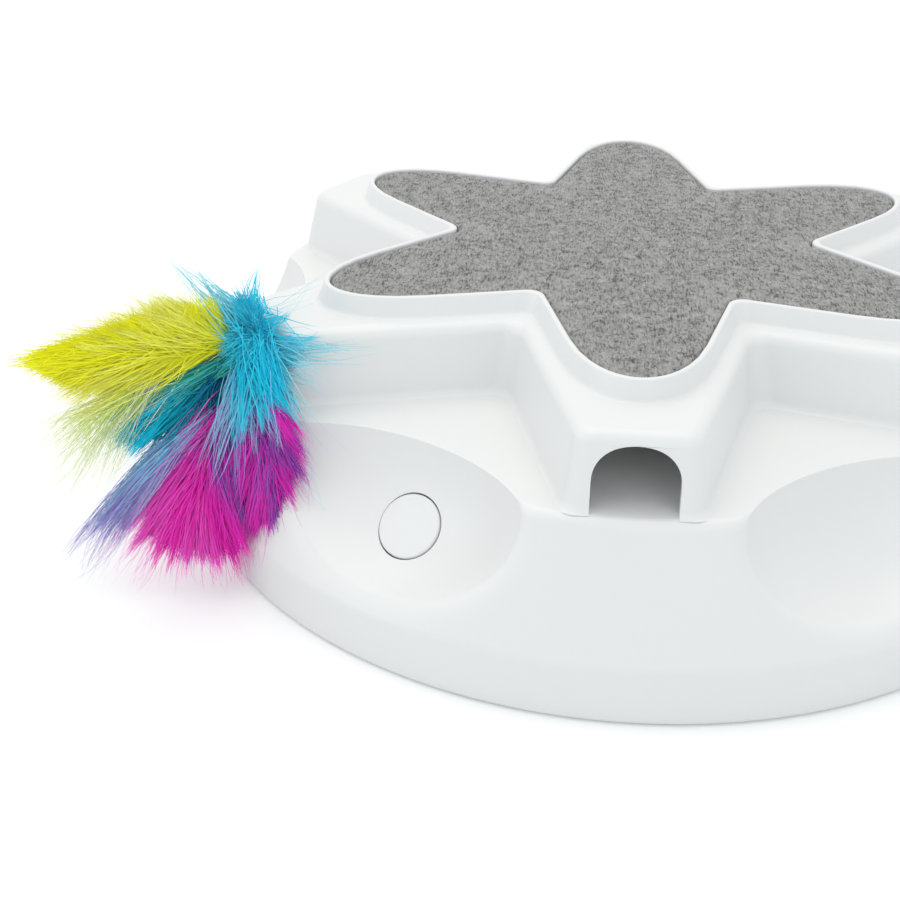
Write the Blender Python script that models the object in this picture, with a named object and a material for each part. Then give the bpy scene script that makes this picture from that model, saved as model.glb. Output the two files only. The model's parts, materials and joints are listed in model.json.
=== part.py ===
"""Motorised pop-out feather toy for cats, built from separate pieces.

A round shell stands on rubber feet. On its deck sits a six-armed star housing
with a felt scratching pad on top and an arch at the end of every arm. Inside,
a geared turntable carries a toothed wand, and a second motor runs that wand
in and out, so that the feather lure pops out of one arch after another.

Metres, +Z up. The origin lies on the table under the middle of the toy.
Azimuths run from +X towards +Y, and one arm points straight along -Y.
"""

import math

import bmesh
import bpy
from mathutils import Matrix, Vector

# Sizes that pieces share
GAP = 0.0003                    # between pieces that touch
RUNNING_GAP = 0.0005            # between pieces that move past each other
OVERRUN = 0.001                 # how far a cutter runs past a face
FULL_TURN = 2 * math.pi
ARM_COUNT = 6
ARM_STEP = FULL_TURN / ARM_COUNT
FRONT_ARM = math.radians(-90)   # azimuth of the arm that points to the front
BUTTON_AZIMUTH = FRONT_ARM - ARM_STEP / 2
WAND_AZIMUTH = FRONT_ARM - ARM_STEP

# Outer shell: upright band, sloping skirt and flat deck
SHELL_RADIUS = 0.145
SHELL_WALL = 0.0024
RIM_HEIGHT = 0.0006             # table to the shell's lower rim
BAND_HEIGHT = 0.0176
SHOULDER_INSET = 0.014
SHOULDER_ROUND = 0.0035
DECK_HEIGHT = 0.055
SHOULDER_RADIUS = SHELL_RADIUS - SHOULDER_INSET
BAND_TOP = RIM_HEIGHT + BAND_HEIGHT
DECK_UNDERSIDE = DECK_HEIGHT - SHELL_WALL

# Deep dishes between the arms, cut by ellipsoids
DISH_RADIUS = 0.034             # in the upright plane through the shell's axis
DISH_HALF_WIDTH = 0.0495        # across that plane
DISH_OUT = 0.0144               # ellipsoid's centre beyond the shoulder
DISH_UP = 0.0008                # ellipsoid's centre above the deck
DISH_REACH = math.radians(80)   # half angle of the ellipsoid's cap that cuts
DISH_TILT = math.radians(44)    # slope of the cap's axis, and of the button
DISH_CENTRE_RADIUS = SHOULDER_RADIUS + DISH_OUT
DISH_CENTRE_HEIGHT = DECK_HEIGHT + DISH_UP

# Star housing
ARM_FACE_RADIUS = SHOULDER_RADIUS - 0.003
STAR_NOTCH_RADIUS = 0.056
STAR_TIP_RADIUS = ARM_FACE_RADIUS - 0.0235
STAR_TIP_ROUND = 0.0105         # radius of an arm's elliptical end at its tip
STAR_TAPER = math.radians(15.5)
STAR_HEIGHT = 0.028             # deck to the crest of the lip
STAR_TOP = DECK_HEIGHT + STAR_HEIGHT
STAR_WALL = 0.0024
LIP_WIDTH = 0.0018
LIP_ROUND = 0.0005
LIP_FOOT_OUT = 0.0032           # star outline to the foot of the lip's wall
LEDGE_DROP = 0.0062             # lip crest to the ledge's inner edge
LEDGE_FALL = 0.001
LEDGE_OUT = 0.0088              # star outline to the ledge's outer edge
LEDGE_ROUND = 0.0034
WALL_FOOT_OUT = 0.011           # star outline to the foot of the outer wall
ARM_FACE_LEAN = 0.0032
ARM_CORNER = 0.006
LIP_NOTCH_ROUND = 0.0045
WALL_NOTCH_ROUND = 0.0055
ARCH_WIDTH = 0.023
ARCH_SIDE = STAR_HEIGHT - 0.0196
ARCH_RISE = 0.0098
ARCH_SQUARENESS = 2.2
STAR_FOOT = DECK_HEIGHT + GAP

# Felt pad in the star's pocket
PAD_THICKNESS = 0.004
PAD_BELOW_LIP = 0.0008
PAD_CLEARANCE = 0.0004
PAD_EDGE = 0.0006
POCKET_FLOOR = STAR_TOP - PAD_BELOW_LIP - PAD_THICKNESS - GAP
POCKET_PLATE = 0.002

# Base tray and feet
FOOT_HEIGHT = 0.0027
FOOT_RADIUS = 0.007
FOOT_EDGE = 0.0006
FOOT_CIRCLE = SHELL_RADIUS - 0.017
CENTRE_FOOT_RADIUS = 0.010
TRAY_UNDERSIDE = FOOT_HEIGHT + GAP
TRAY_THICKNESS = 0.0025
TRAY_TOP = TRAY_UNDERSIDE + TRAY_THICKNESS
TRAY_RIM_HEIGHT = 0.0085
TRAY_RIM_WALL = 0.0022
TRAY_RADIUS = SHELL_RADIUS - SHELL_WALL - GAP

# Screws, their bosses and holes
SCREW_RADIUS = 0.0014
SCREW_HEAD_RADIUS = 0.003
SCREW_HEAD_HEIGHT = 0.0016
SCREW_LENGTH = 0.010
SCREW_HOLE_RADIUS = SCREW_RADIUS + GAP
BOSS_RADIUS = 0.0038
BOSS_CIRCLE = SHELL_RADIUS - 0.033
STAR_SCREW_RADIUS = ARM_FACE_RADIUS - 0.032
STAR_SCREW_SIDE = 0.0135        # beside the arm's centre line
STAR_SCREW_ARMS = (0, 2, 4)

# Power button, with its axis along the dish's normal
BUTTON_RADIUS = 0.0095
BUTTON_CLEARANCE = 0.0005
BUTTON_PROUD = 0.0009
BUTTON_EDGE = 0.0006
BUTTON_TRAVEL = 0.0015
BUTTON_FLANGE = 0.0020          # flange beyond the cap
BUTTON_FLANGE_THICKNESS = 0.0014
BUTTON_STEM_RADIUS = 0.0032
BUTTON_STEM_LENGTH = 0.0047
SLEEVE_WALL = 0.0016
BRACKET_THICKNESS = 0.0015
PLUNGER_RADIUS = 0.0016
PLUNGER_LENGTH = 0.0045
SWITCH_SIDE = 0.009
SWITCH_DEPTH = 0.005
BUTTON_SPRING_WIRE = 0.0004
BUTTON_SPRING_RADIUS = 0.0072
BUTTON_SPRING_TURNS = 4

# Turntable: drum, flange and gear ring on a steel pin
DRUM_RADIUS = 0.034
DRUM_WALL = 0.002
DRUM_FLOOR = 0.002
DRUM_BOTTOM = DECK_HEIGHT - 0.015
DRUM_LIP = 0.0025               # lower flange that carries the gear ring
DRUM_LIP_HEIGHT = 0.0017
TURNTABLE_RADIUS = 0.058
TURNTABLE_THICKNESS = 0.0018
TURNTABLE_LIFT = 0.001          # running gap over the deck
HUB_WALL = 0.0018
HUB_HEIGHT = 0.0055
DECK_HOLE_CLEARANCE = 0.001
PIN_RADIUS = 0.003
PIN_SINK = 0.016                # how deep the pin stands in the tray's post
POST_RADIUS = 0.008
WASHER_RADIUS = 0.007
WASHER_THICKNESS = 0.0024

# Gear ring and drive pinion
RING_TEETH = 50
RING_RIM = 0.006                # drum to the gear's pitch circle
DRIVE_MODULE = 2 * (DRUM_RADIUS + RING_RIM) / RING_TEETH
PINION_TEETH = 12
RING_THICKNESS = 0.004
PINION_THICKNESS = 0.005
MESH_CLEARANCE = 0.0001         # added to the centre distance
DRIVE_AZIMUTH = math.radians(90)

# Shape of a gear tooth, as shares of the module and of the pitch
ADDENDUM_SHARE = 0.75
DEDENDUM_SHARE = 1.05
TOOTH_ROOT_SHARE = 0.52
TOOTH_TIP_SHARE = 0.20

# Drive motor in its socket
MOTOR_RADIUS = 0.012
MOTOR_EDGE = 0.001
MOTOR_SHAFT_RADIUS = 0.0012
SOCKET_WALL = 0.002
SOCKET_HEIGHT = 0.013

# Wand drive on the turntable
PLATE_RADIUS = 0.050
PLATE_THICKNESS = 0.002
WAND_MODULE = 0.001
WAND_PINION_TEETH = 14
WAND_PINION_THICKNESS = 0.0044
WAND_DRIVE_OUT = 0.001          # pinion axis ahead of the turntable's axis
WAND_MOTOR_RADIUS = 0.0085
WAND_MOTOR_HEIGHT = 0.010
WAND_MOTOR_EDGE = 0.0008
WAND_SHAFT_RADIUS = 0.001

# Wand: toothed rack, nylon rod and ferrule
WAND_STROKE = 0.060
RACK_PITCH_SIDE = 0.0032        # pitch line beside the rod's centre line
RACK_HEIGHT = 0.0046
RACK_BACK = 0.0026              # back of the rack beyond the rod's centre line
RACK_TAIL = 0.003               # rack behind the pinion's axis at full reach
RACK_SOCKET = 0.0005            # plain end beyond the last tooth
ROD_RADIUS = 0.0012
ROD_GRIP = 0.005
FERRULE_RADIUS = 0.0023         # clears the motor plate when drawn in
FERRULE_LENGTH = 0.018
FERRULE_GRIP = 0.006
LURE_REACH = ARM_FACE_RADIUS - 0.004

# Cover over the wand drive
COVER_LENGTH = 0.096
COVER_WALL = 0.0016
COVER_CLEARANCE = 0.001
COVER_HEADROOM = 0.0012

# Feather lure
TUFT_LENGTH = 0.018
TUFT_RADIUS = 0.0105
PLUME_GAP = 0.0006
YELLOW_LENGTH = 0.058
YELLOW_WIDTH = 0.030
YELLOW_HEADING = (1.0, 0.0, 0.24)
YELLOW_BEND = (0.0, 0.05, -0.05)
YELLOW_FLAT = (0.0, -0.5, 0.87)
TURQUOISE_LENGTH = 0.056
TURQUOISE_WIDTH = 0.021
TURQUOISE_HEADING = (0.78, -0.10, -0.62)
TURQUOISE_BEND = (0.02, -0.02, -0.05)
MAGENTA_LENGTH = 0.054
MAGENTA_WIDTH = 0.036
MAGENTA_HEADING = (0.30, 0.58, -0.76)
MAGENTA_BEND = (0.04, 0.0, 0.02)
MAGENTA_FLAT = (0.86, 0.42, 0.35)
TURQUOISE_FLAT = (0.25, 1.0, 0.0)
PLUME_THICKNESS = 0.012
PLUME_SIDE_SHARE = 0.75         # of the fan's half width, to the lowest plume

# Batteries, their bay, contacts and door
CELL_COUNT = 3
CELL_RADIUS = 0.00725
CELL_LENGTH = 0.0505
CELL_NUB_RADIUS = 0.0026
CELL_NUB_LENGTH = 0.001
CELL_GAP = 0.0005
CONTACT_THICKNESS = 0.0005
CONTACT_HEIGHT = 0.011
CONTACT_SPRING = 0.0022
CONTACT_SPRING_RADIUS = 0.0028
BAY_START = SHELL_RADIUS - 0.084
BAY_WALL = 0.0018
DOOR_THICKNESS = 0.0017
DOOR_SPIGOT = 0.0016
DOOR_LAP = 0.003
DOOR_TAB = 0.010
DOOR_SCREW_HEAD = 0.0008
DOOR_BOSS_HEIGHT = 0.006

# Circuit board on its posts
BOARD_LENGTH = 0.040
BOARD_WIDTH = 0.034
BOARD_THICKNESS = 0.0016
BOARD_CENTRE = 0.080            # toy's axis to the board's middle
BOARD_POST_RADIUS = 0.0025
BOARD_POST_HEIGHT = 0.005
BOARD_POST_INSET = 0.004
CHIP_LENGTH = 0.012
CHIP_WIDTH = 0.008
CHIP_HEIGHT = 0.002
PLUG_BLOCK_HEIGHT = 0.005

# Insulated leads
LEAD_RADIUS = 0.0011
LEAD_LIFT = 0.0032              # a lead's centre above the tray's floor

# Facets: how many flat sides stand for a full circle
SHELL_SIDES = 84
CAVITY_SIDES = 48
TRAY_SIDES = 56
DRUM_SIDES = 36
ROUND_SIDES = 24
SMALL_SIDES = 12


def material(name, colour, roughness, metallic=0.0):
    made = bpy.data.materials.new(name)
    made.use_nodes = True
    shader = made.node_tree.nodes["Principled BSDF"]
    shader.inputs["Base Color"].default_value = (*colour, 1.0)
    shader.inputs["Roughness"].default_value = roughness
    shader.inputs["Metallic"].default_value = metallic
    made.diffuse_color = (*colour, 1.0)
    return made


def start_empty():
    for old in list(bpy.data.objects):
        bpy.data.objects.remove(old, do_unlink=True)


def lathe(profile, sides):
    """Turn a closed profile of (radius, height) points about Z."""
    shape = bmesh.new()
    rings = []
    flat_ends = [end for end, near in ((0, 1), (-1, -2))
                 if profile[end][0] == 0 and profile[end][1] == profile[near][1]]
    caps = bool(flat_ends) and profile[-1][0] == 0
    if 0 in flat_ends:
        profile = profile[1:]
    if -1 in flat_ends:
        profile = profile[:-1]
    for radius, height in profile:
        turns = [FULL_TURN * i / sides for i in range(sides)] if radius else [0.0]
        rings.append([
            shape.verts.new((radius * math.cos(a), radius * math.sin(a), height))
            for a in turns
        ])
    following_rings = rings[1:] if caps else rings[1:] + rings[:1]
    for ring, following in zip(rings, following_rings):
        if len(ring) == 1 and len(following) == 1:
            continue
        for i in range(sides):
            j = (i + 1) % sides
            corners = [
                ring[i % len(ring)], ring[j % len(ring)],
                following[j % len(following)], following[i % len(following)],
            ]
            shape.faces.new(list(dict.fromkeys(corners)))
    for end in flat_ends:
        shape.faces.new(rings[end])
    bmesh.ops.recalc_face_normals(shape, faces=shape.faces)
    return shape


def loft(rings):
    """Skin rings of equally many points, and cap the first and the last."""
    shape = bmesh.new()
    loops = [[shape.verts.new(point) for point in ring] for ring in rings]
    for loop, following in zip(loops, loops[1:]):
        for i in range(len(loop)):
            j = (i + 1) % len(loop)
            shape.faces.new((loop[i], loop[j], following[j], following[i]))
    shape.faces.new(loops[0][::-1])
    shape.faces.new(loops[-1])
    bmesh.ops.recalc_face_normals(shape, faces=shape.faces)
    return shape


def prism(outline, low, high):
    """Extrude a flat outline of (x, y) points from one height to another."""
    return loft([[(x, y, z) for x, y in outline] for z in (low, high)])


def block(low, high):
    """A box between two opposite corners."""
    outline = [(low[0], low[1]), (high[0], low[1]), (high[0], high[1]), (low[0], high[1])]
    return prism(outline, low[2], high[2])


def rod(radius, low, high, sides=SMALL_SIDES, edge=0.0):
    """A round bar along Z, with chamfered ends where an edge is given."""
    profile = [(0, high), (radius - edge, high), (radius, high - edge),
               (radius, low + edge), (radius - edge, low), (0, low)]
    if not edge:
        profile = [(0, high), (radius, high), (radius, low), (0, low)]
    return lathe(profile, sides)


def ring(inner, outer, low, high, sides=ROUND_SIDES):
    """A round tube along Z."""
    return lathe([(inner, high), (outer, high), (outer, low), (inner, low)], sides)


def add(name, shape, finish=None, place=None, crease=35):
    """Make a scene object from a bmesh, shaded smooth between its creases."""
    if place is not None:
        bmesh.ops.transform(shape, matrix=place, verts=shape.verts)
    mesh = bpy.data.meshes.new(name)
    shape.to_mesh(mesh)
    shape.free()
    mesh.shade_smooth()
    mesh.set_sharp_from_angle(angle=math.radians(crease))
    made = bpy.data.objects.new(name, mesh)
    bpy.context.scene.collection.objects.link(made)
    if finish is not None:
        mesh.materials.append(finish)
    return made


def combine(target, shape, operation, place=None):
    """Cut a bmesh out of an object, or join it on, by an exact Boolean."""
    tool = add(target.name + "_tool", shape, place=place)
    step = target.modifiers.new("step", "BOOLEAN")
    step.operation = operation
    step.solver = "EXACT"
    step.object = tool
    with bpy.context.temp_override(object=target, active_object=target):
        bpy.ops.object.modifier_apply(modifier=step.name)
    bpy.data.objects.remove(tool, do_unlink=True)


def cut(target, shape, place=None):
    combine(target, shape, "DIFFERENCE", place)


def join(target, shape, place=None):
    combine(target, shape, "UNION", place)


def set_origin(item, point):
    """Move an object's origin to a point and leave its faces where they are."""
    item.data.transform(Matrix.Translation(-Vector(point)))
    item.location = point


def polar(radius, azimuth, height):
    return Vector((radius * math.cos(azimuth), radius * math.sin(azimuth), height))


def turned_to(azimuth, height=0.0):
    """A frame whose X runs outwards at an azimuth, at a height."""
    return Matrix.Translation((0, 0, height)) @ Matrix.Rotation(azimuth, 4, "Z")


def wire(name, points, radius, finish, resolution):
    """A round wire through points, with closed ends."""
    path = bpy.data.curves.new(name, "CURVE")
    path.dimensions = "3D"
    path.bevel_depth = radius
    path.bevel_resolution = resolution
    path.render_resolution_u = 0
    path.use_fill_caps = True
    spline = path.splines.new("POLY")
    spline.points.add(len(points) - 1)
    for place, point in zip(spline.points, points):
        place.co = (*point, 1.0)
    path.materials.append(finish)
    made = bpy.data.objects.new(name, path)
    bpy.context.scene.collection.objects.link(made)
    return made


def smooth_route(route, steps):
    """Points on one smooth curve through all the points of a route."""
    knots = [Vector(point) for point in route]
    knots = [2 * knots[0] - knots[1]] + knots + [2 * knots[-1] - knots[-2]]
    points = []
    for a, b, c, d in zip(knots, knots[1:], knots[2:], knots[3:]):
        for i in range(steps):
            t = i / steps
            points.append(0.5 * (
                2 * b + (c - a) * t + (2 * a - 5 * b + 4 * c - d) * t ** 2
                + (3 * b - a - 3 * c + d) * t ** 3
            ))
    return points + [knots[-2]]


# Outlines of the star

def side_at(along, offset):
    """Half width of an arm at a distance along it, for an outline moved out."""
    notch_side = STAR_NOTCH_RADIUS * math.sin(ARM_STEP / 2)
    notch_along = STAR_NOTCH_RADIUS * math.cos(ARM_STEP / 2)
    slope = math.tan(STAR_TAPER)
    return notch_side - slope * (along - notch_along) + offset / math.cos(STAR_TAPER)


def arm_end(offset, face, corner, points):
    """One side of an arm's end, from the centre line round to the side."""
    span = math.pi / 2 - STAR_TAPER
    if face is None:
        side = side_at(STAR_TIP_RADIUS, 0)
        reach = side ** 2 / (STAR_TIP_ROUND - 2 * side * math.tan(STAR_TAPER))
        half = math.sqrt(STAR_TIP_ROUND * reach)
        outline = []
        for i in range(points):
            facing = span * (i + 0.5) / (points - 0.5)
            angle = math.atan2(half * math.sin(facing), reach * math.cos(facing))
            along = STAR_TIP_RADIUS - reach * (1 - math.cos(angle))
            outline.append((along + offset * math.cos(facing),
                            half * math.sin(angle) + offset * math.sin(facing)))
        return outline
    middle = (face - corner, side_at(face - corner, offset) - corner / math.cos(STAR_TAPER))
    angles = [span * i / (points - 1) for i in range(points)]
    return [
        (middle[0] + corner * math.cos(a), middle[1] + corner * math.sin(a))
        for a in angles
    ]


def star_ring(offset, height, notch_round, face=None, corner=ARM_CORNER, points=4):
    """A closed star outline: round arm tips, or flat ones at a face radius."""
    half_notch = ARM_STEP / 2 + STAR_TAPER
    notch = STAR_NOTCH_RADIUS + offset / math.sin(half_notch)
    middle = notch + notch_round / math.sin(half_notch)
    sweep = math.pi / 2 - half_notch
    end = arm_end(offset, face, corner, points)
    outline = []
    for arm in range(ARM_COUNT):
        azimuth = FRONT_ARM + arm * ARM_STEP
        turn = Matrix.Rotation(azimuth, 4, "Z")
        for x, y in [(x, -y) for x, y in reversed(end)] + end:
            outline.append(turn @ Vector((x, y, height)))
        bisector = azimuth + ARM_STEP / 2
        centre = polar(middle, bisector, height)
        for i in range(points):
            angle = bisector + math.pi + sweep * (1 - 2 * i / (points - 1))
            outline.append(centre + polar(notch_round, angle, 0))
    return outline


def arch_outline(grow=0.0):
    """The arch's opening as (across, up) points, from the deck upwards."""
    half = ARCH_WIDTH / 2 + grow
    power = 2 / ARCH_SQUARENESS
    points = [(half, -OVERRUN)]
    steps = 10
    for i in range(steps + 1):
        angle = math.pi * i / steps
        across = math.copysign(abs(math.cos(angle)) ** power, math.cos(angle))
        up = math.sin(angle) ** power if 0 < i < steps else 0.0
        points.append((half * across, ARCH_SIDE + (ARCH_RISE + grow) * up))
    points.append((-half, -OVERRUN))
    return points


def star_housing(finish):
    """The star: ceiling, inner wall, foot, outer wall, ledge, lip and pocket."""
    inner_top = LEDGE_OUT - STAR_WALL
    inner_foot = WALL_FOOT_OUT - STAR_WALL
    face_top = ARM_FACE_RADIUS - ARM_FACE_LEAN
    ledge_inner = STAR_TOP - LEDGE_DROP
    ledge_outer = ledge_inner - LEDGE_FALL
    ceiling = POCKET_FLOOR - POCKET_PLATE
    ledge_underside = ledge_outer - STAR_WALL
    wall_top = ledge_outer - LEDGE_ROUND
    half_round = LEDGE_ROUND * (1 - math.cos(math.pi / 4))
    lip_foot_round = LIP_FOOT_OUT - LIP_WIDTH
    shape = loft([
        star_ring(-LIP_WIDTH, ceiling, LIP_NOTCH_ROUND),
        star_ring(-LIP_WIDTH, ledge_underside, LIP_NOTCH_ROUND),
        star_ring(inner_top, ledge_underside, WALL_NOTCH_ROUND, face_top - STAR_WALL),
        star_ring(inner_foot, STAR_FOOT, WALL_NOTCH_ROUND, ARM_FACE_RADIUS - STAR_WALL),
        star_ring(WALL_FOOT_OUT, STAR_FOOT, WALL_NOTCH_ROUND, ARM_FACE_RADIUS),
        star_ring(LEDGE_OUT + LIP_ROUND, wall_top, WALL_NOTCH_ROUND, face_top),
        star_ring(LEDGE_OUT - half_round, ledge_outer - half_round, WALL_NOTCH_ROUND,
                  face_top - half_round),
        star_ring(LEDGE_OUT - LEDGE_ROUND, ledge_outer, WALL_NOTCH_ROUND,
                  face_top - LEDGE_ROUND),
        star_ring(LIP_FOOT_OUT + lip_foot_round, ledge_inner, LIP_NOTCH_ROUND),
        star_ring(LIP_FOOT_OUT, ledge_inner + lip_foot_round, LIP_NOTCH_ROUND),
        star_ring(LIP_WIDTH, STAR_TOP - LIP_ROUND, LIP_NOTCH_ROUND),
        star_ring(LIP_WIDTH - LIP_ROUND, STAR_TOP, LIP_NOTCH_ROUND),
        star_ring(LIP_ROUND, STAR_TOP, LIP_NOTCH_ROUND),
        star_ring(0, STAR_TOP - LIP_ROUND, LIP_NOTCH_ROUND),
        star_ring(0, POCKET_FLOOR, LIP_NOTCH_ROUND),
    ])
    housing = add("star_housing", shape, finish)
    upright = Matrix(((0, 0, 1, 0), (1, 0, 0, 0), (0, 1, 0, 0), (0, 0, 0, 1)))
    for arm in range(ARM_COUNT):
        azimuth = FRONT_ARM + arm * ARM_STEP
        arch = prism(arch_outline(), STAR_TIP_RADIUS, ARM_FACE_RADIUS + OVERRUN)
        cut(housing, arch, turned_to(azimuth, DECK_HEIGHT) @ upright)
    for arm in STAR_SCREW_ARMS:
        frame = turned_to(FRONT_ARM + arm * ARM_STEP)
        spot = frame @ Matrix.Translation((STAR_SCREW_RADIUS, STAR_SCREW_SIDE, 0))
        join(housing, rod(BOSS_RADIUS, STAR_FOOT, ledge_underside + POCKET_PLATE / 2), spot)
        bore = rod(SCREW_HOLE_RADIUS, STAR_FOOT - OVERRUN, STAR_FOOT + SCREW_LENGTH)
        cut(housing, bore, spot)
    return housing


def scratch_pad(finish):
    """Felt pad with a softened upper edge, laid in the star's pocket."""
    low = POCKET_FLOOR + GAP
    high = low + PAD_THICKNESS
    inside = LIP_NOTCH_ROUND
    return add("scratch_pad", loft([
        star_ring(-PAD_CLEARANCE, low, inside),
        star_ring(-PAD_CLEARANCE, high - PAD_EDGE, inside),
        star_ring(-PAD_CLEARANCE - PAD_EDGE, high, inside),
    ]), finish)


# Outer shell

def shell_profile(wall):
    """Half section of the shell's outside, or of the room inside its wall."""
    rim = RIM_HEIGHT if not wall else RIM_HEIGHT - OVERRUN
    deck = DECK_HEIGHT - wall
    slope = math.atan2(DECK_HEIGHT - BAND_TOP, SHOULDER_INSET)
    shift = wall / math.sin(slope)
    shoulder = SHOULDER_RADIUS - shift + wall / math.tan(slope)
    reach = SHOULDER_ROUND * math.tan(slope / 2)
    points = [(0, deck), (shoulder - reach, deck)]
    if not wall:
        for share in (0.33, 0.67):
            angle = math.pi / 2 - slope * share
            points.append((shoulder - reach + SHOULDER_ROUND * math.cos(angle),
                           deck - SHOULDER_ROUND + SHOULDER_ROUND * math.sin(angle)))
    points.append((shoulder + reach * math.cos(slope), deck - reach * math.sin(slope)))
    points += [(SHELL_RADIUS - wall, BAND_TOP - wall / 2), (SHELL_RADIUS - wall, rim), (0, rim)]
    return points


def dish_frame(azimuth):
    """A frame at the dish's centre, with -Z down its middle and Y across it."""
    centre = polar(DISH_CENTRE_RADIUS, azimuth, DISH_CENTRE_HEIGHT)
    tip = Matrix.Rotation(math.pi / 2 - DISH_TILT, 4, "Y")
    return Matrix.Translation(centre) @ Matrix.Rotation(azimuth, 4, "Z") @ tip


def dish_cap(wall, rings_out, sides):
    """The part of the dish's ellipsoid that cuts, grown by a wall, with a flat top."""
    radius = DISH_RADIUS + wall
    profile = [(0, -radius)]
    for i in range(1, rings_out + 1):
        angle = DISH_REACH * i / rings_out
        profile.append((radius * math.sin(angle), -radius * math.cos(angle)))
    profile.append((0, profile[-1][1]))
    cap = lathe(profile, sides)
    widen = (DISH_HALF_WIDTH + wall) / radius
    bmesh.ops.scale(cap, vec=(1, widen, 1), verts=cap.verts)
    return cap


def outer_shell(finish):
    """Deck, skirt and band with six dishes, screw bosses and the button's sleeve."""
    shell = add("outer_shell", lathe(shell_profile(0), SHELL_SIDES), finish)
    room = add("shell_room", lathe(shell_profile(SHELL_WALL), CAVITY_SIDES))
    for arm in range(ARM_COUNT):
        azimuth = FRONT_ARM + (arm + 0.5) * ARM_STEP
        cut(shell, dish_cap(0, 9, 28), dish_frame(azimuth))
        cut(room, dish_cap(SHELL_WALL, 6, 20), dish_frame(azimuth))
    step = shell.modifiers.new("hollow", "BOOLEAN")
    step.operation = "DIFFERENCE"
    step.object = room
    with bpy.context.temp_override(object=shell, active_object=shell):
        bpy.ops.object.modifier_apply(modifier=step.name)
    bpy.data.objects.remove(room, do_unlink=True)

    hole = DRUM_RADIUS + DRUM_LIP + DECK_HOLE_CLEARANCE
    cut(shell, rod(hole, DECK_UNDERSIDE - OVERRUN, DECK_HEIGHT + OVERRUN, DRUM_SIDES))
    for arm in range(ARM_COUNT):
        spot = turned_to(FRONT_ARM + arm * ARM_STEP) @ Matrix.Translation((BOSS_CIRCLE, 0, 0))
        join(shell, rod(BOSS_RADIUS, TRAY_TOP + GAP, DECK_UNDERSIDE + SHELL_WALL / 2), spot)
        cut(shell, rod(SCREW_HOLE_RADIUS, TRAY_TOP - OVERRUN, TRAY_TOP + SCREW_LENGTH), spot)
    for arm in STAR_SCREW_ARMS:
        spot = turned_to(FRONT_ARM + arm * ARM_STEP)
        spot = spot @ Matrix.Translation((STAR_SCREW_RADIUS, STAR_SCREW_SIDE, 0))
        cut(shell, rod(SCREW_HOLE_RADIUS, DECK_UNDERSIDE - OVERRUN, DECK_HEIGHT + OVERRUN), spot)

    axis = button_frame()
    inner = BUTTON_RADIUS + BUTTON_FLANGE + RUNNING_GAP
    outer = inner + SLEEVE_WALL
    cut(shell, rod(BUTTON_RADIUS + BUTTON_CLEARANCE, -SHELL_WALL - OVERRUN,
                   SHELL_WALL + OVERRUN, ROUND_SIDES), axis)
    join(shell, ring(inner, outer, bracket_bottom(), -GAP), axis)
    return shell


# Power button and switch, in a frame whose Z points out of the dish

def button_frame():
    return dish_frame(BUTTON_AZIMUTH) @ Matrix.Translation((0, 0, -DISH_RADIUS))


def dish_rise(wall, away, reach):
    """How far a dish rises above its lowest point, away along its axis of that reach."""
    return (DISH_RADIUS + wall) * (1 - math.sqrt(1 - (away / (reach + wall)) ** 2))


def flange_top():
    hole = BUTTON_RADIUS + BUTTON_CLEARANCE
    return -SHELL_WALL + dish_rise(SHELL_WALL, hole, DISH_HALF_WIDTH) - GAP


def stem_bottom():
    return flange_top() - BUTTON_FLANGE_THICKNESS - BUTTON_STEM_LENGTH


def bracket_top():
    return stem_bottom() - BUTTON_TRAVEL - RUNNING_GAP


def bracket_bottom():
    return bracket_top() - BRACKET_THICKNESS


def power_button(finish):
    """Domed cap, retaining flange and stem, turned about the press axis."""
    top = dish_rise(0, BUTTON_RADIUS, DISH_RADIUS) + GAP
    flange = flange_top()
    shape = lathe([
        (0, top + BUTTON_PROUD / 2),
        (BUTTON_RADIUS / 2, top + BUTTON_PROUD / 3),
        (BUTTON_RADIUS - BUTTON_EDGE, top),
        (BUTTON_RADIUS, top - BUTTON_EDGE),
        (BUTTON_RADIUS, flange),
        (BUTTON_RADIUS + BUTTON_FLANGE, flange),
        (BUTTON_RADIUS + BUTTON_FLANGE, flange - BUTTON_FLANGE_THICKNESS),
        (BUTTON_STEM_RADIUS, flange - BUTTON_FLANGE_THICKNESS),
        (BUTTON_STEM_RADIUS, stem_bottom()),
        (0, stem_bottom()),
    ], ROUND_SIDES)
    button = add("power_button", shape, finish, button_frame())
    set_origin(button, button_frame().translation)
    return button


def button_spring(finish):
    """Compression spring between the button's flange and its bracket."""
    high = flange_top() - BUTTON_FLANGE_THICKNESS - GAP - BUTTON_SPRING_WIRE
    low = bracket_top() + GAP + BUTTON_SPRING_WIRE
    per_turn = 10
    count = BUTTON_SPRING_TURNS * per_turn
    points = []
    for i in range(count + 1):
        angle = FULL_TURN * i / per_turn
        height = low + (high - low) * i / count
        points.append(button_frame() @ polar(BUTTON_SPRING_RADIUS, angle, height))
    return wire("button_spring", points, BUTTON_SPRING_WIRE, finish, 1)


def button_bracket(finish):
    """Disc that closes the sleeve, with a hole for the switch's plunger."""
    outer = BUTTON_RADIUS + BUTTON_FLANGE + RUNNING_GAP - GAP
    shape = ring(PLUNGER_RADIUS + GAP, outer, bracket_bottom(), bracket_top())
    return add("button_bracket", shape, finish, button_frame())


def switch_plunger(finish):
    top = stem_bottom() - GAP
    bar = rod(PLUNGER_RADIUS, top - PLUNGER_LENGTH, top)
    plunger = add("switch_plunger", bar, finish, button_frame())
    set_origin(plunger, button_frame().translation)
    return plunger


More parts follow.
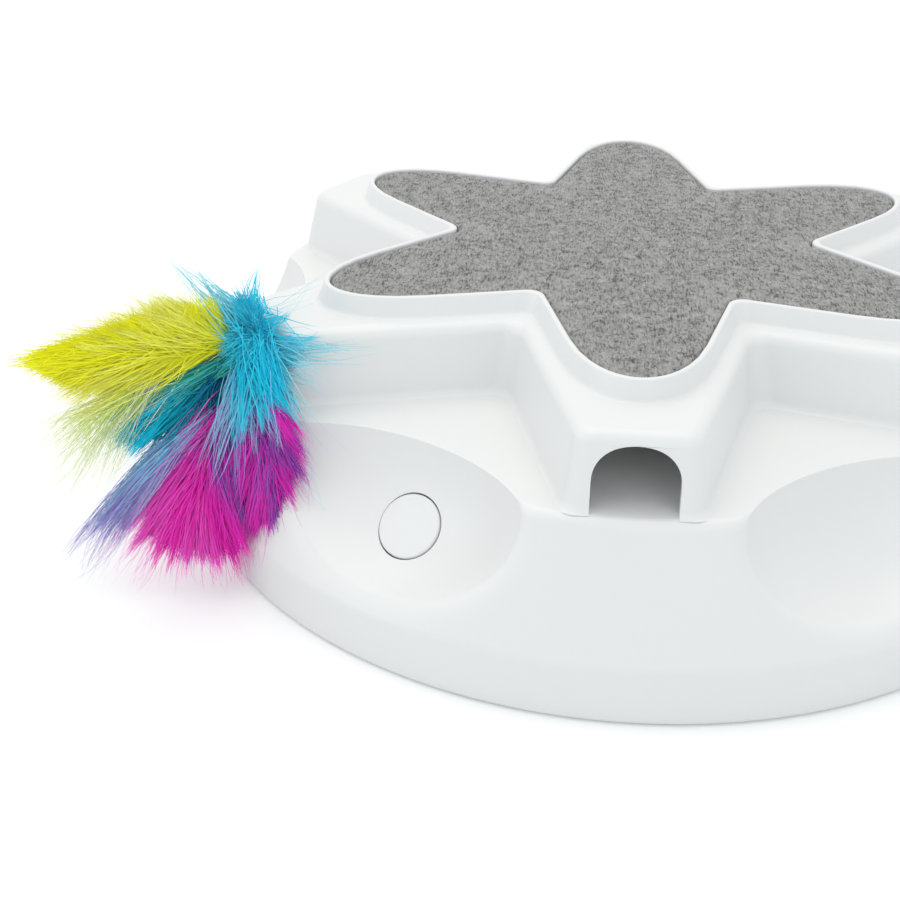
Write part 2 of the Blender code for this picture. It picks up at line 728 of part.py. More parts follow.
def push_switch(finish):
    """Switch body under the bracket, bored for its plunger."""
    half = SWITCH_SIDE / 2
    top = bracket_bottom() - GAP
    body = add("push_switch", block((-half, -half, top - SWITCH_DEPTH), (half, half, top)),
               finish, button_frame())
    reach = stem_bottom() - GAP - PLUNGER_LENGTH - BUTTON_TRAVEL - GAP
    cut(body, rod(PLUNGER_RADIUS + GAP, reach, top + OVERRUN), button_frame())
    return body


# Base tray

def bay_box():
    """Low and high corners of the room inside the battery bay."""
    length = CELL_LENGTH + 2 * CONTACT_THICKNESS + CONTACT_SPRING + 4 * GAP
    width = CELL_COUNT * 2 * CELL_RADIUS + (CELL_COUNT + 1) * CELL_GAP
    top = cell_height() + CELL_RADIUS + CELL_GAP
    low = Vector((BAY_START, -width / 2, TRAY_UNDERSIDE))
    return low, Vector((BAY_START + length, width / 2, top))


def cell_height():
    return TRAY_UNDERSIDE + DOOR_SPIGOT + CELL_GAP + CELL_RADIUS


def door_screw_place():
    return Vector((bay_box()[1].x + BAY_WALL / 2 + BOSS_RADIUS, 0, 0))


def drive_centre():
    """Centre distance of the gear ring and the drive pinion."""
    return (RING_TEETH + PINION_TEETH) * DRIVE_MODULE / 2 + MESH_CLEARANCE


def board_corners():
    """Places of the four posts under the circuit board."""
    across = BOARD_WIDTH / 2 - BOARD_POST_INSET
    along = BOARD_LENGTH / 2 - BOARD_POST_INSET
    return [(-BOARD_CENTRE + a * along, b * across) for a in (-1, 1) for b in (-1, 1)]


def post_top():
    return DRUM_BOTTOM - GAP - WASHER_THICKNESS - GAP


def base_tray(finish):
    """Floor with an upturned rim, battery bay, motor socket, post and bosses."""
    inner = TRAY_RADIUS - TRAY_RIM_WALL
    tray = add("base_tray", lathe([
        (0, TRAY_TOP), (inner, TRAY_TOP), (inner, TRAY_TOP + TRAY_RIM_HEIGHT),
        (TRAY_RADIUS, TRAY_TOP + TRAY_RIM_HEIGHT), (TRAY_RADIUS, TRAY_UNDERSIDE),
        (0, TRAY_UNDERSIDE),
    ], TRAY_SIDES), finish)
    low, high = bay_box()
    wall = Vector((BAY_WALL, BAY_WALL, 0))
    sink = Vector((0, 0, TRAY_THICKNESS / 2))
    join(tray, block(low - wall + sink, high + wall + Vector((0, 0, BAY_WALL))))
    cut(tray, block(low - Vector((0, 0, OVERRUN)), high))

    floor = TRAY_UNDERSIDE + TRAY_THICKNESS / 2
    join(tray, rod(POST_RADIUS, floor, post_top(), ROUND_SIDES))
    cut(tray, rod(PIN_RADIUS + GAP, post_top() - PIN_SINK, post_top() + OVERRUN))
    socket = ring(MOTOR_RADIUS + GAP, MOTOR_RADIUS + GAP + SOCKET_WALL, floor,
                  TRAY_TOP + SOCKET_HEIGHT)
    join(tray, socket, Matrix.Translation(polar(drive_centre(), DRIVE_AZIMUTH, 0)))
    for x, y in board_corners():
        post = rod(BOARD_POST_RADIUS, floor, TRAY_TOP + BOARD_POST_HEIGHT)
        join(tray, post, Matrix.Translation((x, y, 0)))
    spot = Matrix.Translation(door_screw_place())
    join(tray, rod(BOSS_RADIUS, floor, TRAY_TOP + DOOR_BOSS_HEIGHT), spot)
    top = TRAY_TOP + DOOR_BOSS_HEIGHT - SHELL_WALL / 2
    cut(tray, rod(SCREW_HOLE_RADIUS, TRAY_UNDERSIDE - OVERRUN, top), spot)
    for arm in range(ARM_COUNT):
        place = polar(BOSS_CIRCLE, FRONT_ARM + arm * ARM_STEP, 0)
        hole = rod(SCREW_HOLE_RADIUS, TRAY_UNDERSIDE - OVERRUN, TRAY_TOP + OVERRUN)
        cut(tray, hole, Matrix.Translation(place))
    return tray


def feet(finish):
    """Six rubber feet outside the screws, and one under the middle."""
    for foot in range(ARM_COUNT):
        azimuth = FRONT_ARM + foot * ARM_STEP
        place = Matrix.Translation(polar(FOOT_CIRCLE, azimuth, 0))
        shape = rod(FOOT_RADIUS, 0, FOOT_HEIGHT, SMALL_SIDES, FOOT_EDGE)
        add(f"rubber_foot_{foot + 1}", shape, finish, place)
    add("centre_foot", rod(CENTRE_FOOT_RADIUS, 0, FOOT_HEIGHT, SMALL_SIDES, FOOT_EDGE), finish)


def screw(name, head_bottom, head_height, length, finish, place):
    """A pan-head screw that points up, its head's lower face at a height."""
    top = head_bottom + head_height
    shape = lathe([
        (0, top + length), (SCREW_RADIUS, top + length), (SCREW_RADIUS, top),
        (SCREW_HEAD_RADIUS, top), (SCREW_HEAD_RADIUS, head_bottom), (0, head_bottom),
    ], SMALL_SIDES)
    return add(name, shape, finish, place)


def screws(finish):
    """Six screws hold the tray to the shell and three hold the star."""
    shank = SCREW_LENGTH + TRAY_THICKNESS - OVERRUN
    head = TRAY_UNDERSIDE - GAP - SCREW_HEAD_HEIGHT
    for arm in range(ARM_COUNT):
        place = polar(BOSS_CIRCLE, FRONT_ARM + arm * ARM_STEP, 0)
        screw(f"housing_screw_{arm + 1}", head, SCREW_HEAD_HEIGHT, shank, finish,
              Matrix.Translation(place))
    head = DECK_UNDERSIDE - GAP - SCREW_HEAD_HEIGHT
    for number, arm in enumerate(STAR_SCREW_ARMS, 1):
        frame = turned_to(FRONT_ARM + arm * ARM_STEP)
        place = frame @ Matrix.Translation((STAR_SCREW_RADIUS, STAR_SCREW_SIDE, 0))
        screw(f"star_screw_{number}", head, SCREW_HEAD_HEIGHT, shank, finish, place)
    length = DOOR_BOSS_HEIGHT + TRAY_THICKNESS / 2
    head = TRAY_UNDERSIDE - GAP - DOOR_THICKNESS
    screw("door_screw", head, DOOR_SCREW_HEAD, length, finish,
          Matrix.Translation(door_screw_place()))


# Batteries

def battery_door(finish):
    """Lid with a spigot that fits the bay's opening and a tab for its screw."""
    low, high = bay_box()
    top = TRAY_UNDERSIDE - GAP
    bottom = top - DOOR_THICKNESS
    lap = Vector((DOOR_LAP, DOOR_LAP, 0))
    fit = Vector((GAP, GAP, 0))
    door = add("battery_door", block((low - lap).xy.to_3d() + Vector((0, 0, bottom)),
                                     (high + lap).xy.to_3d() + Vector((0, 0, top))), finish)
    inner_low = (low + fit).xy.to_3d() + Vector((0, 0, bottom + DOOR_THICKNESS / 2))
    inner_high = (high - fit).xy.to_3d() + Vector((0, 0, TRAY_UNDERSIDE + DOOR_SPIGOT - GAP))
    join(door, block(inner_low, inner_high))
    place = door_screw_place()
    half = DOOR_TAB / 2
    join(door, block((high.x, -half, bottom), (place.x + half, half, top)))
    spot = Matrix.Translation(place)
    cut(door, rod(SCREW_HOLE_RADIUS, bottom - OVERRUN, top + OVERRUN), spot)
    seat = bottom + DOOR_SCREW_HEAD + GAP
    cut(door, rod(SCREW_HEAD_RADIUS + GAP, bottom - OVERRUN, seat), spot)
    return door


def cell_side(number):
    """Sideways place of a cell in the bay."""
    step = 2 * CELL_RADIUS + CELL_GAP
    return (number - (CELL_COUNT - 1) / 2) * step


def batteries(finish):
    """Three cells side by side, the middle one the other way round."""
    start = BAY_START + 2 * GAP + CONTACT_THICKNESS
    body = CELL_LENGTH - CELL_NUB_LENGTH
    profile = [
        (0, CELL_LENGTH), (CELL_NUB_RADIUS, CELL_LENGTH), (CELL_NUB_RADIUS, body),
        (CELL_RADIUS - GAP, body), (CELL_RADIUS, body - GAP), (CELL_RADIUS, 0), (0, 0),
    ]
    for number in range(CELL_COUNT):
        lie = Matrix.Rotation(math.pi / 2, 4, "Y")
        if number % 2:
            lie = Matrix.Translation((CELL_LENGTH, 0, 0)) @ Matrix.Rotation(-math.pi / 2, 4, "Y")
        place = Matrix.Translation((start, cell_side(number), cell_height())) @ lie
        add(f"battery_{number + 1}", lathe(profile, 16), finish, place)


def contacts(finish):
    """A flat contact plate at the bay's inner end, a sprung one at the other."""
    low, high = bay_box()
    base = cell_height() - CONTACT_HEIGHT / 2
    side = high.y - CELL_GAP
    add("flat_contact", block((low.x + GAP, -side, base),
                              (low.x + GAP + CONTACT_THICKNESS, side, base + CONTACT_HEIGHT)),
        finish)
    back = high.x - GAP - CONTACT_THICKNESS
    sprung = add("spring_contact", block((back, -side, base),
                                         (high.x - GAP, side, base + CONTACT_HEIGHT)), finish)
    for number in range(CELL_COUNT):
        place = Matrix.Translation((back, cell_side(number), cell_height()))
        stub = rod(CONTACT_SPRING_RADIUS, -CONTACT_SPRING, CONTACT_THICKNESS / 2)
        join(sprung, stub, place @ Matrix.Rotation(math.pi / 2, 4, "Y"))


# Electronics

def board_top():
    return TRAY_TOP + BOARD_POST_HEIGHT + GAP + BOARD_THICKNESS


def circuit_board(finish):
    """Board with a chip and a row of plug blocks, on four posts."""
    half = Vector((BOARD_LENGTH / 2, BOARD_WIDTH / 2, 0))
    centre = Vector((-BOARD_CENTRE, 0, 0))
    top = board_top()
    board = add("circuit_board", block(centre - half + Vector((0, 0, top - BOARD_THICKNESS)),
                                       centre + half + Vector((0, 0, top))), finish)
    chip = Vector((CHIP_LENGTH / 2, CHIP_WIDTH / 2, 0))
    sunk = Vector((0, 0, top - BOARD_THICKNESS / 2))
    join(board, block(centre - chip + sunk, centre + chip + Vector((0, 0, top + CHIP_HEIGHT))))
    edge = Vector((BOARD_LENGTH / 2 - CHIP_WIDTH, 0, 0))
    plug = Vector((CHIP_WIDTH / 4, BOARD_WIDTH / 2 - BOARD_POST_INSET, 0))
    join(board, block(centre + edge - plug + sunk,
                      centre + edge + plug + Vector((0, 0, top + PLUG_BLOCK_HEIGHT))))
    return board


def leads(dark, light):
    """Insulated leads from the board to the bay, the motors and the switch."""
    plug_x = -BOARD_CENTRE + BOARD_LENGTH / 2 - CHIP_WIDTH
    plug_z = board_top() + PLUG_BLOCK_HEIGHT + 2 * GAP
    rise = plug_z + PLUG_BLOCK_HEIGHT
    floor = TRAY_TOP + LEAD_LIFT
    bay = bay_box()[0]
    plug_side = BOARD_WIDTH / 2 - BOARD_POST_INSET - LEAD_RADIUS

    wire("battery_lead", smooth_route([
        (bay.x - BAY_WALL - GAP, bay.y / 3, cell_height()),
        (bay.x - BAY_WALL - POST_RADIUS, bay.y / 2, floor + LEAD_LIFT),
        (BAY_START / 2, -DRUM_RADIUS, floor),
        (-POST_RADIUS, -DRUM_RADIUS - POST_RADIUS, floor),
        (-BOARD_CENTRE / 2, -BOARD_WIDTH, floor),
        (plug_x + 2 * POST_RADIUS, -plug_side, rise - BOARD_POST_HEIGHT),
        (plug_x + LEAD_LIFT, -plug_side / 2, rise),
        (plug_x, -plug_side / 2, plug_z + LEAD_LIFT),
        (plug_x, -plug_side / 2, plug_z),
    ], 3), LEAD_RADIUS, dark, 2)

    motor = polar(drive_centre(), DRIVE_AZIMUTH, 0)
    wire("motor_lead", smooth_route([
        (motor.x - MOTOR_RADIUS - 2 * GAP, motor.y, motor_top() - POST_RADIUS),
        (motor.x - MOTOR_RADIUS - LEAD_LIFT, motor.y, motor_top() - POST_RADIUS),
        (motor.x - 2 * MOTOR_RADIUS, motor.y - POST_RADIUS, motor_top() - MOTOR_RADIUS),
        (-BOARD_CENTRE / 2, motor.y / 2, rise),
        (plug_x + LEAD_LIFT, plug_side, rise),
        (plug_x, plug_side, plug_z + LEAD_LIFT),
        (plug_x, plug_side, plug_z),
    ], 3), LEAD_RADIUS, light, 2)

    drum = -DRUM_RADIUS + DRUM_WALL + POST_RADIUS
    wire("rotor_lead", smooth_route([
        (drum, 0, DRUM_BOTTOM - GAP),
        (drum, 0, DRUM_BOTTOM - BOARD_POST_HEIGHT),
        (-BOARD_CENTRE / 2, 0, rise + BOARD_POST_HEIGHT),
        (plug_x + LEAD_LIFT, plug_side / 2, rise),
        (plug_x, plug_side / 2, plug_z + LEAD_LIFT),
        (plug_x, plug_side / 2, plug_z),
    ], 3), LEAD_RADIUS, light, 2)

    under = bracket_bottom() - GAP - SWITCH_DEPTH - 2 * GAP
    start = button_frame() @ Vector((0, 0, under))
    below = button_frame() @ Vector((0, 0, under - 2 * LEAD_LIFT))
    wire("switch_lead", smooth_route([
        start,
        below,
        (below.x - LEAD_LIFT, below.y + BOARD_WIDTH / 2, floor + BOARD_POST_HEIGHT),
        (plug_x - LEAD_LIFT, -plug_side - BOARD_WIDTH / 2, rise),
        (plug_x, -plug_side - LEAD_LIFT, rise),
        (plug_x, -plug_side, plug_z + LEAD_LIFT),
        (plug_x, -plug_side, plug_z),
    ], 3), LEAD_RADIUS, dark, 2)


# Gears

def gear_outline(teeth, module, phase):
    """Outline of a spur gear with straight-sided teeth, one at the phase."""
    pitch = teeth * module / 2
    root = pitch - DEDENDUM_SHARE * module
    tip = pitch + ADDENDUM_SHARE * module
    step = FULL_TURN / teeth
    points = []
    for tooth in range(teeth):
        middle = phase + tooth * step
        for share, radius in ((-TOOTH_ROOT_SHARE, root), (-TOOTH_TIP_SHARE, tip),
                              (TOOTH_TIP_SHARE, tip), (TOOTH_ROOT_SHARE, root)):
            angle = middle + share * step / 2
            points.append((radius * math.cos(angle), radius * math.sin(angle)))
    return points


def gear_bottom():
    return DRUM_BOTTOM + DRUM_LIP_HEIGHT + GAP


def turntable_gear(finish):
    """Toothed ring pushed onto the drum, meshing with the drive pinion."""
    phase = DRIVE_AZIMUTH + math.pi / RING_TEETH
    outline = gear_outline(RING_TEETH, DRIVE_MODULE, phase)
    low = gear_bottom()
    gear = add("turntable_gear", prism(outline, low, low + RING_THICKNESS), finish)
    bore = rod(DRUM_RADIUS + GAP, low - OVERRUN, low + RING_THICKNESS + OVERRUN, DRUM_SIDES)
    cut(gear, bore)
    return gear


def motor_top():
    return gear_bottom() - RING_THICKNESS


def drive_pinion(finish):
    """Small gear on the drive motor's shaft."""
    outline = gear_outline(PINION_TEETH, DRIVE_MODULE, DRIVE_AZIMUTH + math.pi)
    low = gear_bottom() - (PINION_THICKNESS - RING_THICKNESS) / 2
    place = polar(drive_centre(), DRIVE_AZIMUTH, 0)
    shape = prism(outline, low, low + PINION_THICKNESS)
    pinion = add("drive_pinion", shape, finish, Matrix.Translation(place))
    bore = rod(MOTOR_SHAFT_RADIUS + GAP, low - OVERRUN, low + PINION_THICKNESS + OVERRUN)
    cut(pinion, bore, Matrix.Translation(place))
    set_origin(pinion, place)
    return pinion


def drive_motor(finish):
    """Geared motor that stands in the tray's socket, with its shaft."""
    low = TRAY_TOP + GAP
    high = motor_top()
    shaft = gear_bottom() + PINION_THICKNESS
    shape = lathe([
        (0, shaft), (MOTOR_SHAFT_RADIUS, shaft), (MOTOR_SHAFT_RADIUS, high),
        (MOTOR_RADIUS - MOTOR_EDGE, high), (MOTOR_RADIUS, high - MOTOR_EDGE),
        (MOTOR_RADIUS, low), (0, low),
    ], ROUND_SIDES)
    place = Matrix.Translation(polar(drive_centre(), DRIVE_AZIMUTH, 0))
    return add("drive_motor", shape, finish, place)


# Turntable and wand drive

def flange_bottom():
    return DECK_HEIGHT + TURNTABLE_LIFT


def plate_bottom():
    return flange_bottom() + TURNTABLE_THICKNESS + GAP


def plate_top():
    return plate_bottom() + PLATE_THICKNESS


def turntable(finish):
    """Drum with a hub on the pin, a lower lip and the wide upper flange."""
    inner = DRUM_RADIUS - DRUM_WALL
    hub_in = PIN_RADIUS + GAP
    hub_out = hub_in + HUB_WALL
    lip = DRUM_RADIUS + DRUM_LIP
    floor = DRUM_BOTTOM + DRUM_FLOOR
    top = flange_bottom() + TURNTABLE_THICKNESS
    return add("turntable", lathe([
        (inner, top), (TURNTABLE_RADIUS, top), (TURNTABLE_RADIUS, flange_bottom()),
        (DRUM_RADIUS, flange_bottom()), (DRUM_RADIUS, DRUM_BOTTOM + DRUM_LIP_HEIGHT),
        (lip, DRUM_BOTTOM + DRUM_LIP_HEIGHT), (lip, DRUM_BOTTOM), (hub_in, DRUM_BOTTOM),
        (hub_in, floor + HUB_HEIGHT), (hub_out, floor + HUB_HEIGHT), (hub_out, floor),
        (inner, floor),
    ], DRUM_SIDES), finish)


def pivot(steel, nylon):
    """Fixed steel pin in the tray's post, and the washer that the drum turns on."""
    low = post_top() - PIN_SINK + GAP
    high = DRUM_BOTTOM + DRUM_FLOOR + HUB_HEIGHT - GAP
    add("pivot_pin", rod(PIN_RADIUS, low, high, SMALL_SIDES, FOOT_EDGE), steel)
    bottom = post_top() + GAP
    washer = ring(PIN_RADIUS + GAP, WASHER_RADIUS, bottom, bottom + WASHER_THICKNESS)
    add("thrust_washer", washer, nylon)


def wand_height():
    return plate_top() + RUNNING_GAP + RACK_HEIGHT / 2


def wand_frame():
    """Frame of the wand: X outwards through its arch, Z up, on the rod's line."""
    return turned_to(WAND_AZIMUTH, wand_height())


def wand_pinion_centre():
    pitch = WAND_PINION_TEETH * WAND_MODULE / 2
    return Vector((WAND_DRIVE_OUT, -RACK_PITCH_SIDE - pitch - MESH_CLEARANCE, 0))


def motor_plate(finish):
    """Plate on the flange that carries the wand's motor and cover."""
    plate = add("motor_plate", rod(PLATE_RADIUS, plate_bottom(), plate_top(), DRUM_SIDES), finish)
    place = turned_to(WAND_AZIMUTH) @ Matrix.Translation(wand_pinion_centre())
    hole = rod(WAND_SHAFT_RADIUS + GAP, plate_bottom() - OVERRUN, plate_top() + OVERRUN)
    cut(plate, hole, place)
    return plate


def wand_motor(finish):
    """Small motor that hangs under the plate inside the drum."""
    high = plate_bottom() - GAP
    low = high - WAND_MOTOR_HEIGHT
    shaft = plate_top() + RUNNING_GAP + WAND_PINION_THICKNESS
    shape = lathe([
        (0, shaft), (WAND_SHAFT_RADIUS, shaft), (WAND_SHAFT_RADIUS, high),
        (WAND_MOTOR_RADIUS, high), (WAND_MOTOR_RADIUS, low + WAND_MOTOR_EDGE),
        (WAND_MOTOR_RADIUS - WAND_MOTOR_EDGE, low), (0, low),
    ], ROUND_SIDES)
    place = turned_to(WAND_AZIMUTH) @ Matrix.Translation(wand_pinion_centre())
    return add("wand_motor", shape, finish, place)


def wand_pinion(finish):
    """Pinion on the wand motor's shaft, in mesh with the rack."""
    outline = gear_outline(WAND_PINION_TEETH, WAND_MODULE, math.pi / 2)
    low = plate_top() + RUNNING_GAP
    place = turned_to(WAND_AZIMUTH) @ Matrix.Translation(wand_pinion_centre())
    shape = prism(outline, low, low + WAND_PINION_THICKNESS)
    pinion = add("wand_pinion", shape, finish, place)
    bore = rod(WAND_SHAFT_RADIUS + GAP, low - OVERRUN, low + WAND_PINION_THICKNESS + OVERRUN)
    cut(pinion, bore, place)
    set_origin(pinion, place.translation)
    return pinion


def rack_ends():
    """Where the rack starts, where its teeth end and where it ends."""
    start = WAND_DRIVE_OUT - RACK_TAIL
    teeth_end = WAND_DRIVE_OUT + WAND_STROKE + RACK_TAIL
    return start, teeth_end, teeth_end + RACK_SOCKET


def wand_rack(finish):
    """Toothed bar, its teeth towards the pinion, with a socket for the rod."""
    start, teeth_end, end = rack_ends()
    pitch = math.pi * WAND_MODULE
    root = -RACK_PITCH_SIDE + DEDENDUM_SHARE * WAND_MODULE
    tip = -RACK_PITCH_SIDE - ADDENDUM_SHARE * WAND_MODULE
    first = math.ceil((start - WAND_DRIVE_OUT) / pitch) - 0.5
    count = int((teeth_end - WAND_DRIVE_OUT) / pitch - first)
    outline = [(start, RACK_BACK)]
    outline.append((start, root))
    for tooth in range(count + 1):
        middle = WAND_DRIVE_OUT + (first + tooth) * pitch
        for share, side in ((-TOOTH_ROOT_SHARE, root), (-TOOTH_TIP_SHARE, tip),
                            (TOOTH_TIP_SHARE, tip), (TOOTH_ROOT_SHARE, root)):
            outline.append((middle + share * pitch / 2, side))
    outline += [(end, root), (end, RACK_BACK)]
    half = RACK_HEIGHT / 2
    rack = add("wand_rack", prism(outline[::-1], -half, half), finish, wand_frame())
    along = Matrix.Rotation(math.pi / 2, 4, "Y")
    bore = rod(ROD_RADIUS + GAP, end - ROD_GRIP - GAP, end + OVERRUN)
    cut(rack, bore, wand_frame() @ along)
    return rack


def wand_rod(finish):
    """Springy nylon rod between the rack and the ferrule."""
    start = rack_ends()[2] - ROD_GRIP
    end = LURE_REACH - FERRULE_LENGTH + FERRULE_GRIP
    along = Matrix.Rotation(math.pi / 2, 4, "Y")
    return add("wand_rod", rod(ROD_RADIUS, start, end), finish, wand_frame() @ along)


def lure_ferrule(finish):
    """Crimped tube that holds the feathers on the rod."""
    start = LURE_REACH - FERRULE_LENGTH
    bore = ROD_RADIUS + GAP
    depth = start + FERRULE_GRIP + GAP
    shape = lathe([
        (0, LURE_REACH), (FERRULE_RADIUS - GAP, LURE_REACH), (FERRULE_RADIUS, LURE_REACH - GAP),
        (FERRULE_RADIUS, start), (bore, start), (bore, depth), (0, depth),
    ], SMALL_SIDES)
    along = Matrix.Rotation(math.pi / 2, 4, "Y")
    return add("lure_ferrule", shape, finish, wand_frame() @ along)


def wand_cover(finish):
    """Open-bottomed cover over the rack and pinion, open at both ends."""
    pinion = wand_pinion_centre()
    tip = WAND_PINION_TEETH * WAND_MODULE / 2 + ADDENDUM_SHARE * WAND_MODULE
    near = pinion.y - tip - COVER_CLEARANCE
    far = RACK_BACK + COVER_CLEARANCE
    low = -RACK_HEIGHT / 2 - RUNNING_GAP + GAP
    roof = RACK_HEIGHT / 2 + COVER_HEADROOM
    section = [
        (near - COVER_WALL, low), (near, low), (near, roof), (far, roof), (far, low),
        (far + COVER_WALL, low), (far + COVER_WALL, roof + COVER_WALL),
        (near - COVER_WALL, roof + COVER_WALL),
    ]
    half = COVER_LENGTH / 2
    rings = [[(x, side, up) for side, up in section] for x in (-half, half)]
    return add("wand_cover", loft(rings), finish, wand_frame())


# Feather lure

def feather_tuft(finish):
    """Short fluffy head of the lure, just outside the arch."""
    start = LURE_REACH + GAP
    shares = ((0.0, 0.28), (0.34, 0.36), (0.55, 0.90), (0.70, 1.0), (0.85, 0.80), (0.97, 0.40))
    profile = [(0, start + TUFT_LENGTH)]
    for along, width in reversed(shares):
        profile.append((TUFT_RADIUS * width, start + TUFT_LENGTH * along))
    profile.append((0, start))
    along = Matrix.Rotation(math.pi / 2, 4, "Y")
    return add("feather_tuft", lathe(profile, 16), finish, wand_frame() @ along, 180)


def plume(name, finish, root, heading, bend, length, width, flat):
    """A soft leaf-shaped plume from a root point, bending as it goes out."""
    width_shares = (0.06, 0.34, 0.66, 0.92, 1.0, 0.86, 0.50, 0.10)
    heading = Vector(heading).normalized()
    bend = Vector(bend)
    flat = Vector(flat).normalized()
    last = len(width_shares) - 1
    rings = []
    for i, share in enumerate(width_shares):
        t = i / last
        middle = Vector(root) + heading * length * t + bend * length * t * t
        ahead = (heading + 2 * bend * t).normalized()
        across = flat.cross(ahead).normalized()
        thick = ahead.cross(across).normalized()
        half_width = width * share / 2
        half_thick = PLUME_THICKNESS * math.sqrt(share) / 2 * min(1, 0.25 + share)
        rings.append([
            middle + across * half_width * math.cos(a) + thick * half_thick * math.sin(a)
            for a in (FULL_TURN * k / 10 for k in range(10))
        ])
    return add(name, loft(rings), finish, wand_frame(), 180)


def plumes(yellow, turquoise, magenta):
    """Three plumes that fan out from the tuft, in the wand's own frame."""
    start = LURE_REACH + GAP + TUFT_LENGTH
    side = TUFT_RADIUS * 0.55
    plume("plume_yellow", yellow, (start + PLUME_GAP, 0, 0), YELLOW_HEADING, YELLOW_BEND,
          YELLOW_LENGTH, YELLOW_WIDTH, YELLOW_FLAT)
    plume("plume_turquoise", turquoise, (start - side / 2, -side / 3, -side - PLUME_GAP * 5),
          TURQUOISE_HEADING, TURQUOISE_BEND, TURQUOISE_LENGTH, TURQUOISE_WIDTH, TURQUOISE_FLAT)
    plume("plume_magenta", magenta,
          (start - side / 2, side * PLUME_SIDE_SHARE, -TUFT_RADIUS + side / 2),
          MAGENTA_HEADING, MAGENTA_BEND, MAGENTA_LENGTH, MAGENTA_WIDTH, MAGENTA_FLAT)


def build():
    start_empty()
    white = material("shell_white", (0.84, 0.86, 0.87), 0.28)
    felt = material("felt_grey", (0.27, 0.27, 0.27), 0.95)
    grey = material("tray_grey", (0.62, 0.64, 0.65), 0.5)
    rubber = material("foot_rubber", (0.10, 0.10, 0.11), 0.8)
    steel = material("steel", (0.60, 0.60, 0.61), 0.3, 1.0)
    brass = material("contact_brass", (0.70, 0.56, 0.28), 0.35, 1.0)
    nylon = material("gear_nylon", (0.80, 0.78, 0.70), 0.45)
    cell = material("cell_jacket", (0.12, 0.13, 0.14), 0.35)
    board = material("board_green", (0.05, 0.28, 0.14), 0.5)
    dark_lead = material("lead_black", (0.03, 0.03, 0.03), 0.5)
    light_lead = material("lead_red", (0.60, 0.05, 0.04), 0.5)
    yellow = material("plume_yellow", (0.80, 0.80, 0.06), 0.8)
    turquoise = material("plume_turquoise", (0.02, 0.48, 0.62), 0.8)
    magenta = material("plume_magenta", (0.78, 0.06, 0.45), 0.8)

    outer_shell(white)
    star_housing(white)
    scratch_pad(felt)
    base_tray(grey)
    feet(rubber)
    screws(steel)
    battery_door(grey)
    batteries(cell)
    contacts(brass)
    circuit_board(board)
    leads(dark_lead, light_lead)
    power_button(white)
    button_spring(steel)
    button_bracket(nylon)
    switch_plunger(nylon)
    push_switch(cell)
    turntable(nylon)
    turntable_gear(nylon)
    pivot(steel, nylon)
    drive_motor(steel)
    drive_pinion(brass)
    motor_plate(nylon)
    wand_motor(steel)
    wand_pinion(brass)
    wand_cover(grey)
    wand_rack(nylon)
    wand_rod(nylon)
    lure_ferrule(steel)
    feather_tuft(turquoise)
    plumes(yellow, turquoise, magenta)


build()
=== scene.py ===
# Pop-out feather toy for cats: star housing with a felt pad, arches and a feather lure.
import json
import math
import random

import bmesh
import bpy
from mathutils import Matrix, Vector


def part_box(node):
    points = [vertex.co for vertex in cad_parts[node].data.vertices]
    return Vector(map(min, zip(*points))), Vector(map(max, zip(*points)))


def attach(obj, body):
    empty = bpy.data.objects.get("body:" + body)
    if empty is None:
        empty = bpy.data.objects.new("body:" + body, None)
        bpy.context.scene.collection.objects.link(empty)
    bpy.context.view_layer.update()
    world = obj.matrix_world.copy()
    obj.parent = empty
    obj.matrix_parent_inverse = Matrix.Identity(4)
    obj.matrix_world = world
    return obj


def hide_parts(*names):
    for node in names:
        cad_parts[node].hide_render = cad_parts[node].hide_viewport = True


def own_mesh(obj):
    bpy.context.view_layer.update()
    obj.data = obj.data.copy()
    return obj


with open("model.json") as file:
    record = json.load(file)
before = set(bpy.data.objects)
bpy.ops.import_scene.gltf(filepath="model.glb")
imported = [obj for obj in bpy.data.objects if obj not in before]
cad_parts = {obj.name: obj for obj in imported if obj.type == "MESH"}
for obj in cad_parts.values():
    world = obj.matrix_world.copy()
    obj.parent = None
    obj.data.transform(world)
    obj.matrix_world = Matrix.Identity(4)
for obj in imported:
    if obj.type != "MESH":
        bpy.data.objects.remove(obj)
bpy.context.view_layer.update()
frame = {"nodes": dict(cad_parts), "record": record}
nodes = frame["nodes"]
print("frame loaded:", len(nodes), "nodes")


# Node groups that several finishes share

skinOutputs = {"Colour": "NodeSocketColor", "Roughness": "NodeSocketFloat", "Normal": "NodeSocketVector"}


def newGroup(name, inputs):
    group = bpy.data.node_groups.new(name, "ShaderNodeTree")
    for label, value in inputs.items():
        kind = "NodeSocketColor" if label == "Colour" else "NodeSocketFloat"
        socket = group.interface.new_socket(name=label, in_out="INPUT", socket_type=kind)
        socket.default_value = value
    for label, kind in skinOutputs.items():
        group.interface.new_socket(name=label, in_out="OUTPUT", socket_type=kind)
    return group, group.nodes.new("NodeGroupInput"), group.nodes.new("NodeGroupOutput")


def closeGroup(tree, result, *values):
    for label, value in zip(skinOutputs, values):
        tree.links.new(value, result.inputs[label])
    return tree


def newNode(tree, kind, inputs):
    # inputs by name or number: an output is linked, a colour or a number is set
    node = tree.nodes.new("ShaderNode" + kind)
    for slot, value in inputs.items():
        feed(tree, node.inputs[slot], value)
    return node


def feed(tree, socket, value):
    if isinstance(value, bpy.types.NodeSocket):
        tree.links.new(value, socket)
    else:
        socket.default_value = (*value, 1.0) if socket.type == "RGBA" else value


def noiseNode(tree, vector, scale, detail=2.0, roughness=0.5):
    inputs = {"Vector": vector, "Scale": scale, "Detail": detail, "Roughness": roughness}
    return newNode(tree, "TexNoise", inputs).outputs["Fac"]


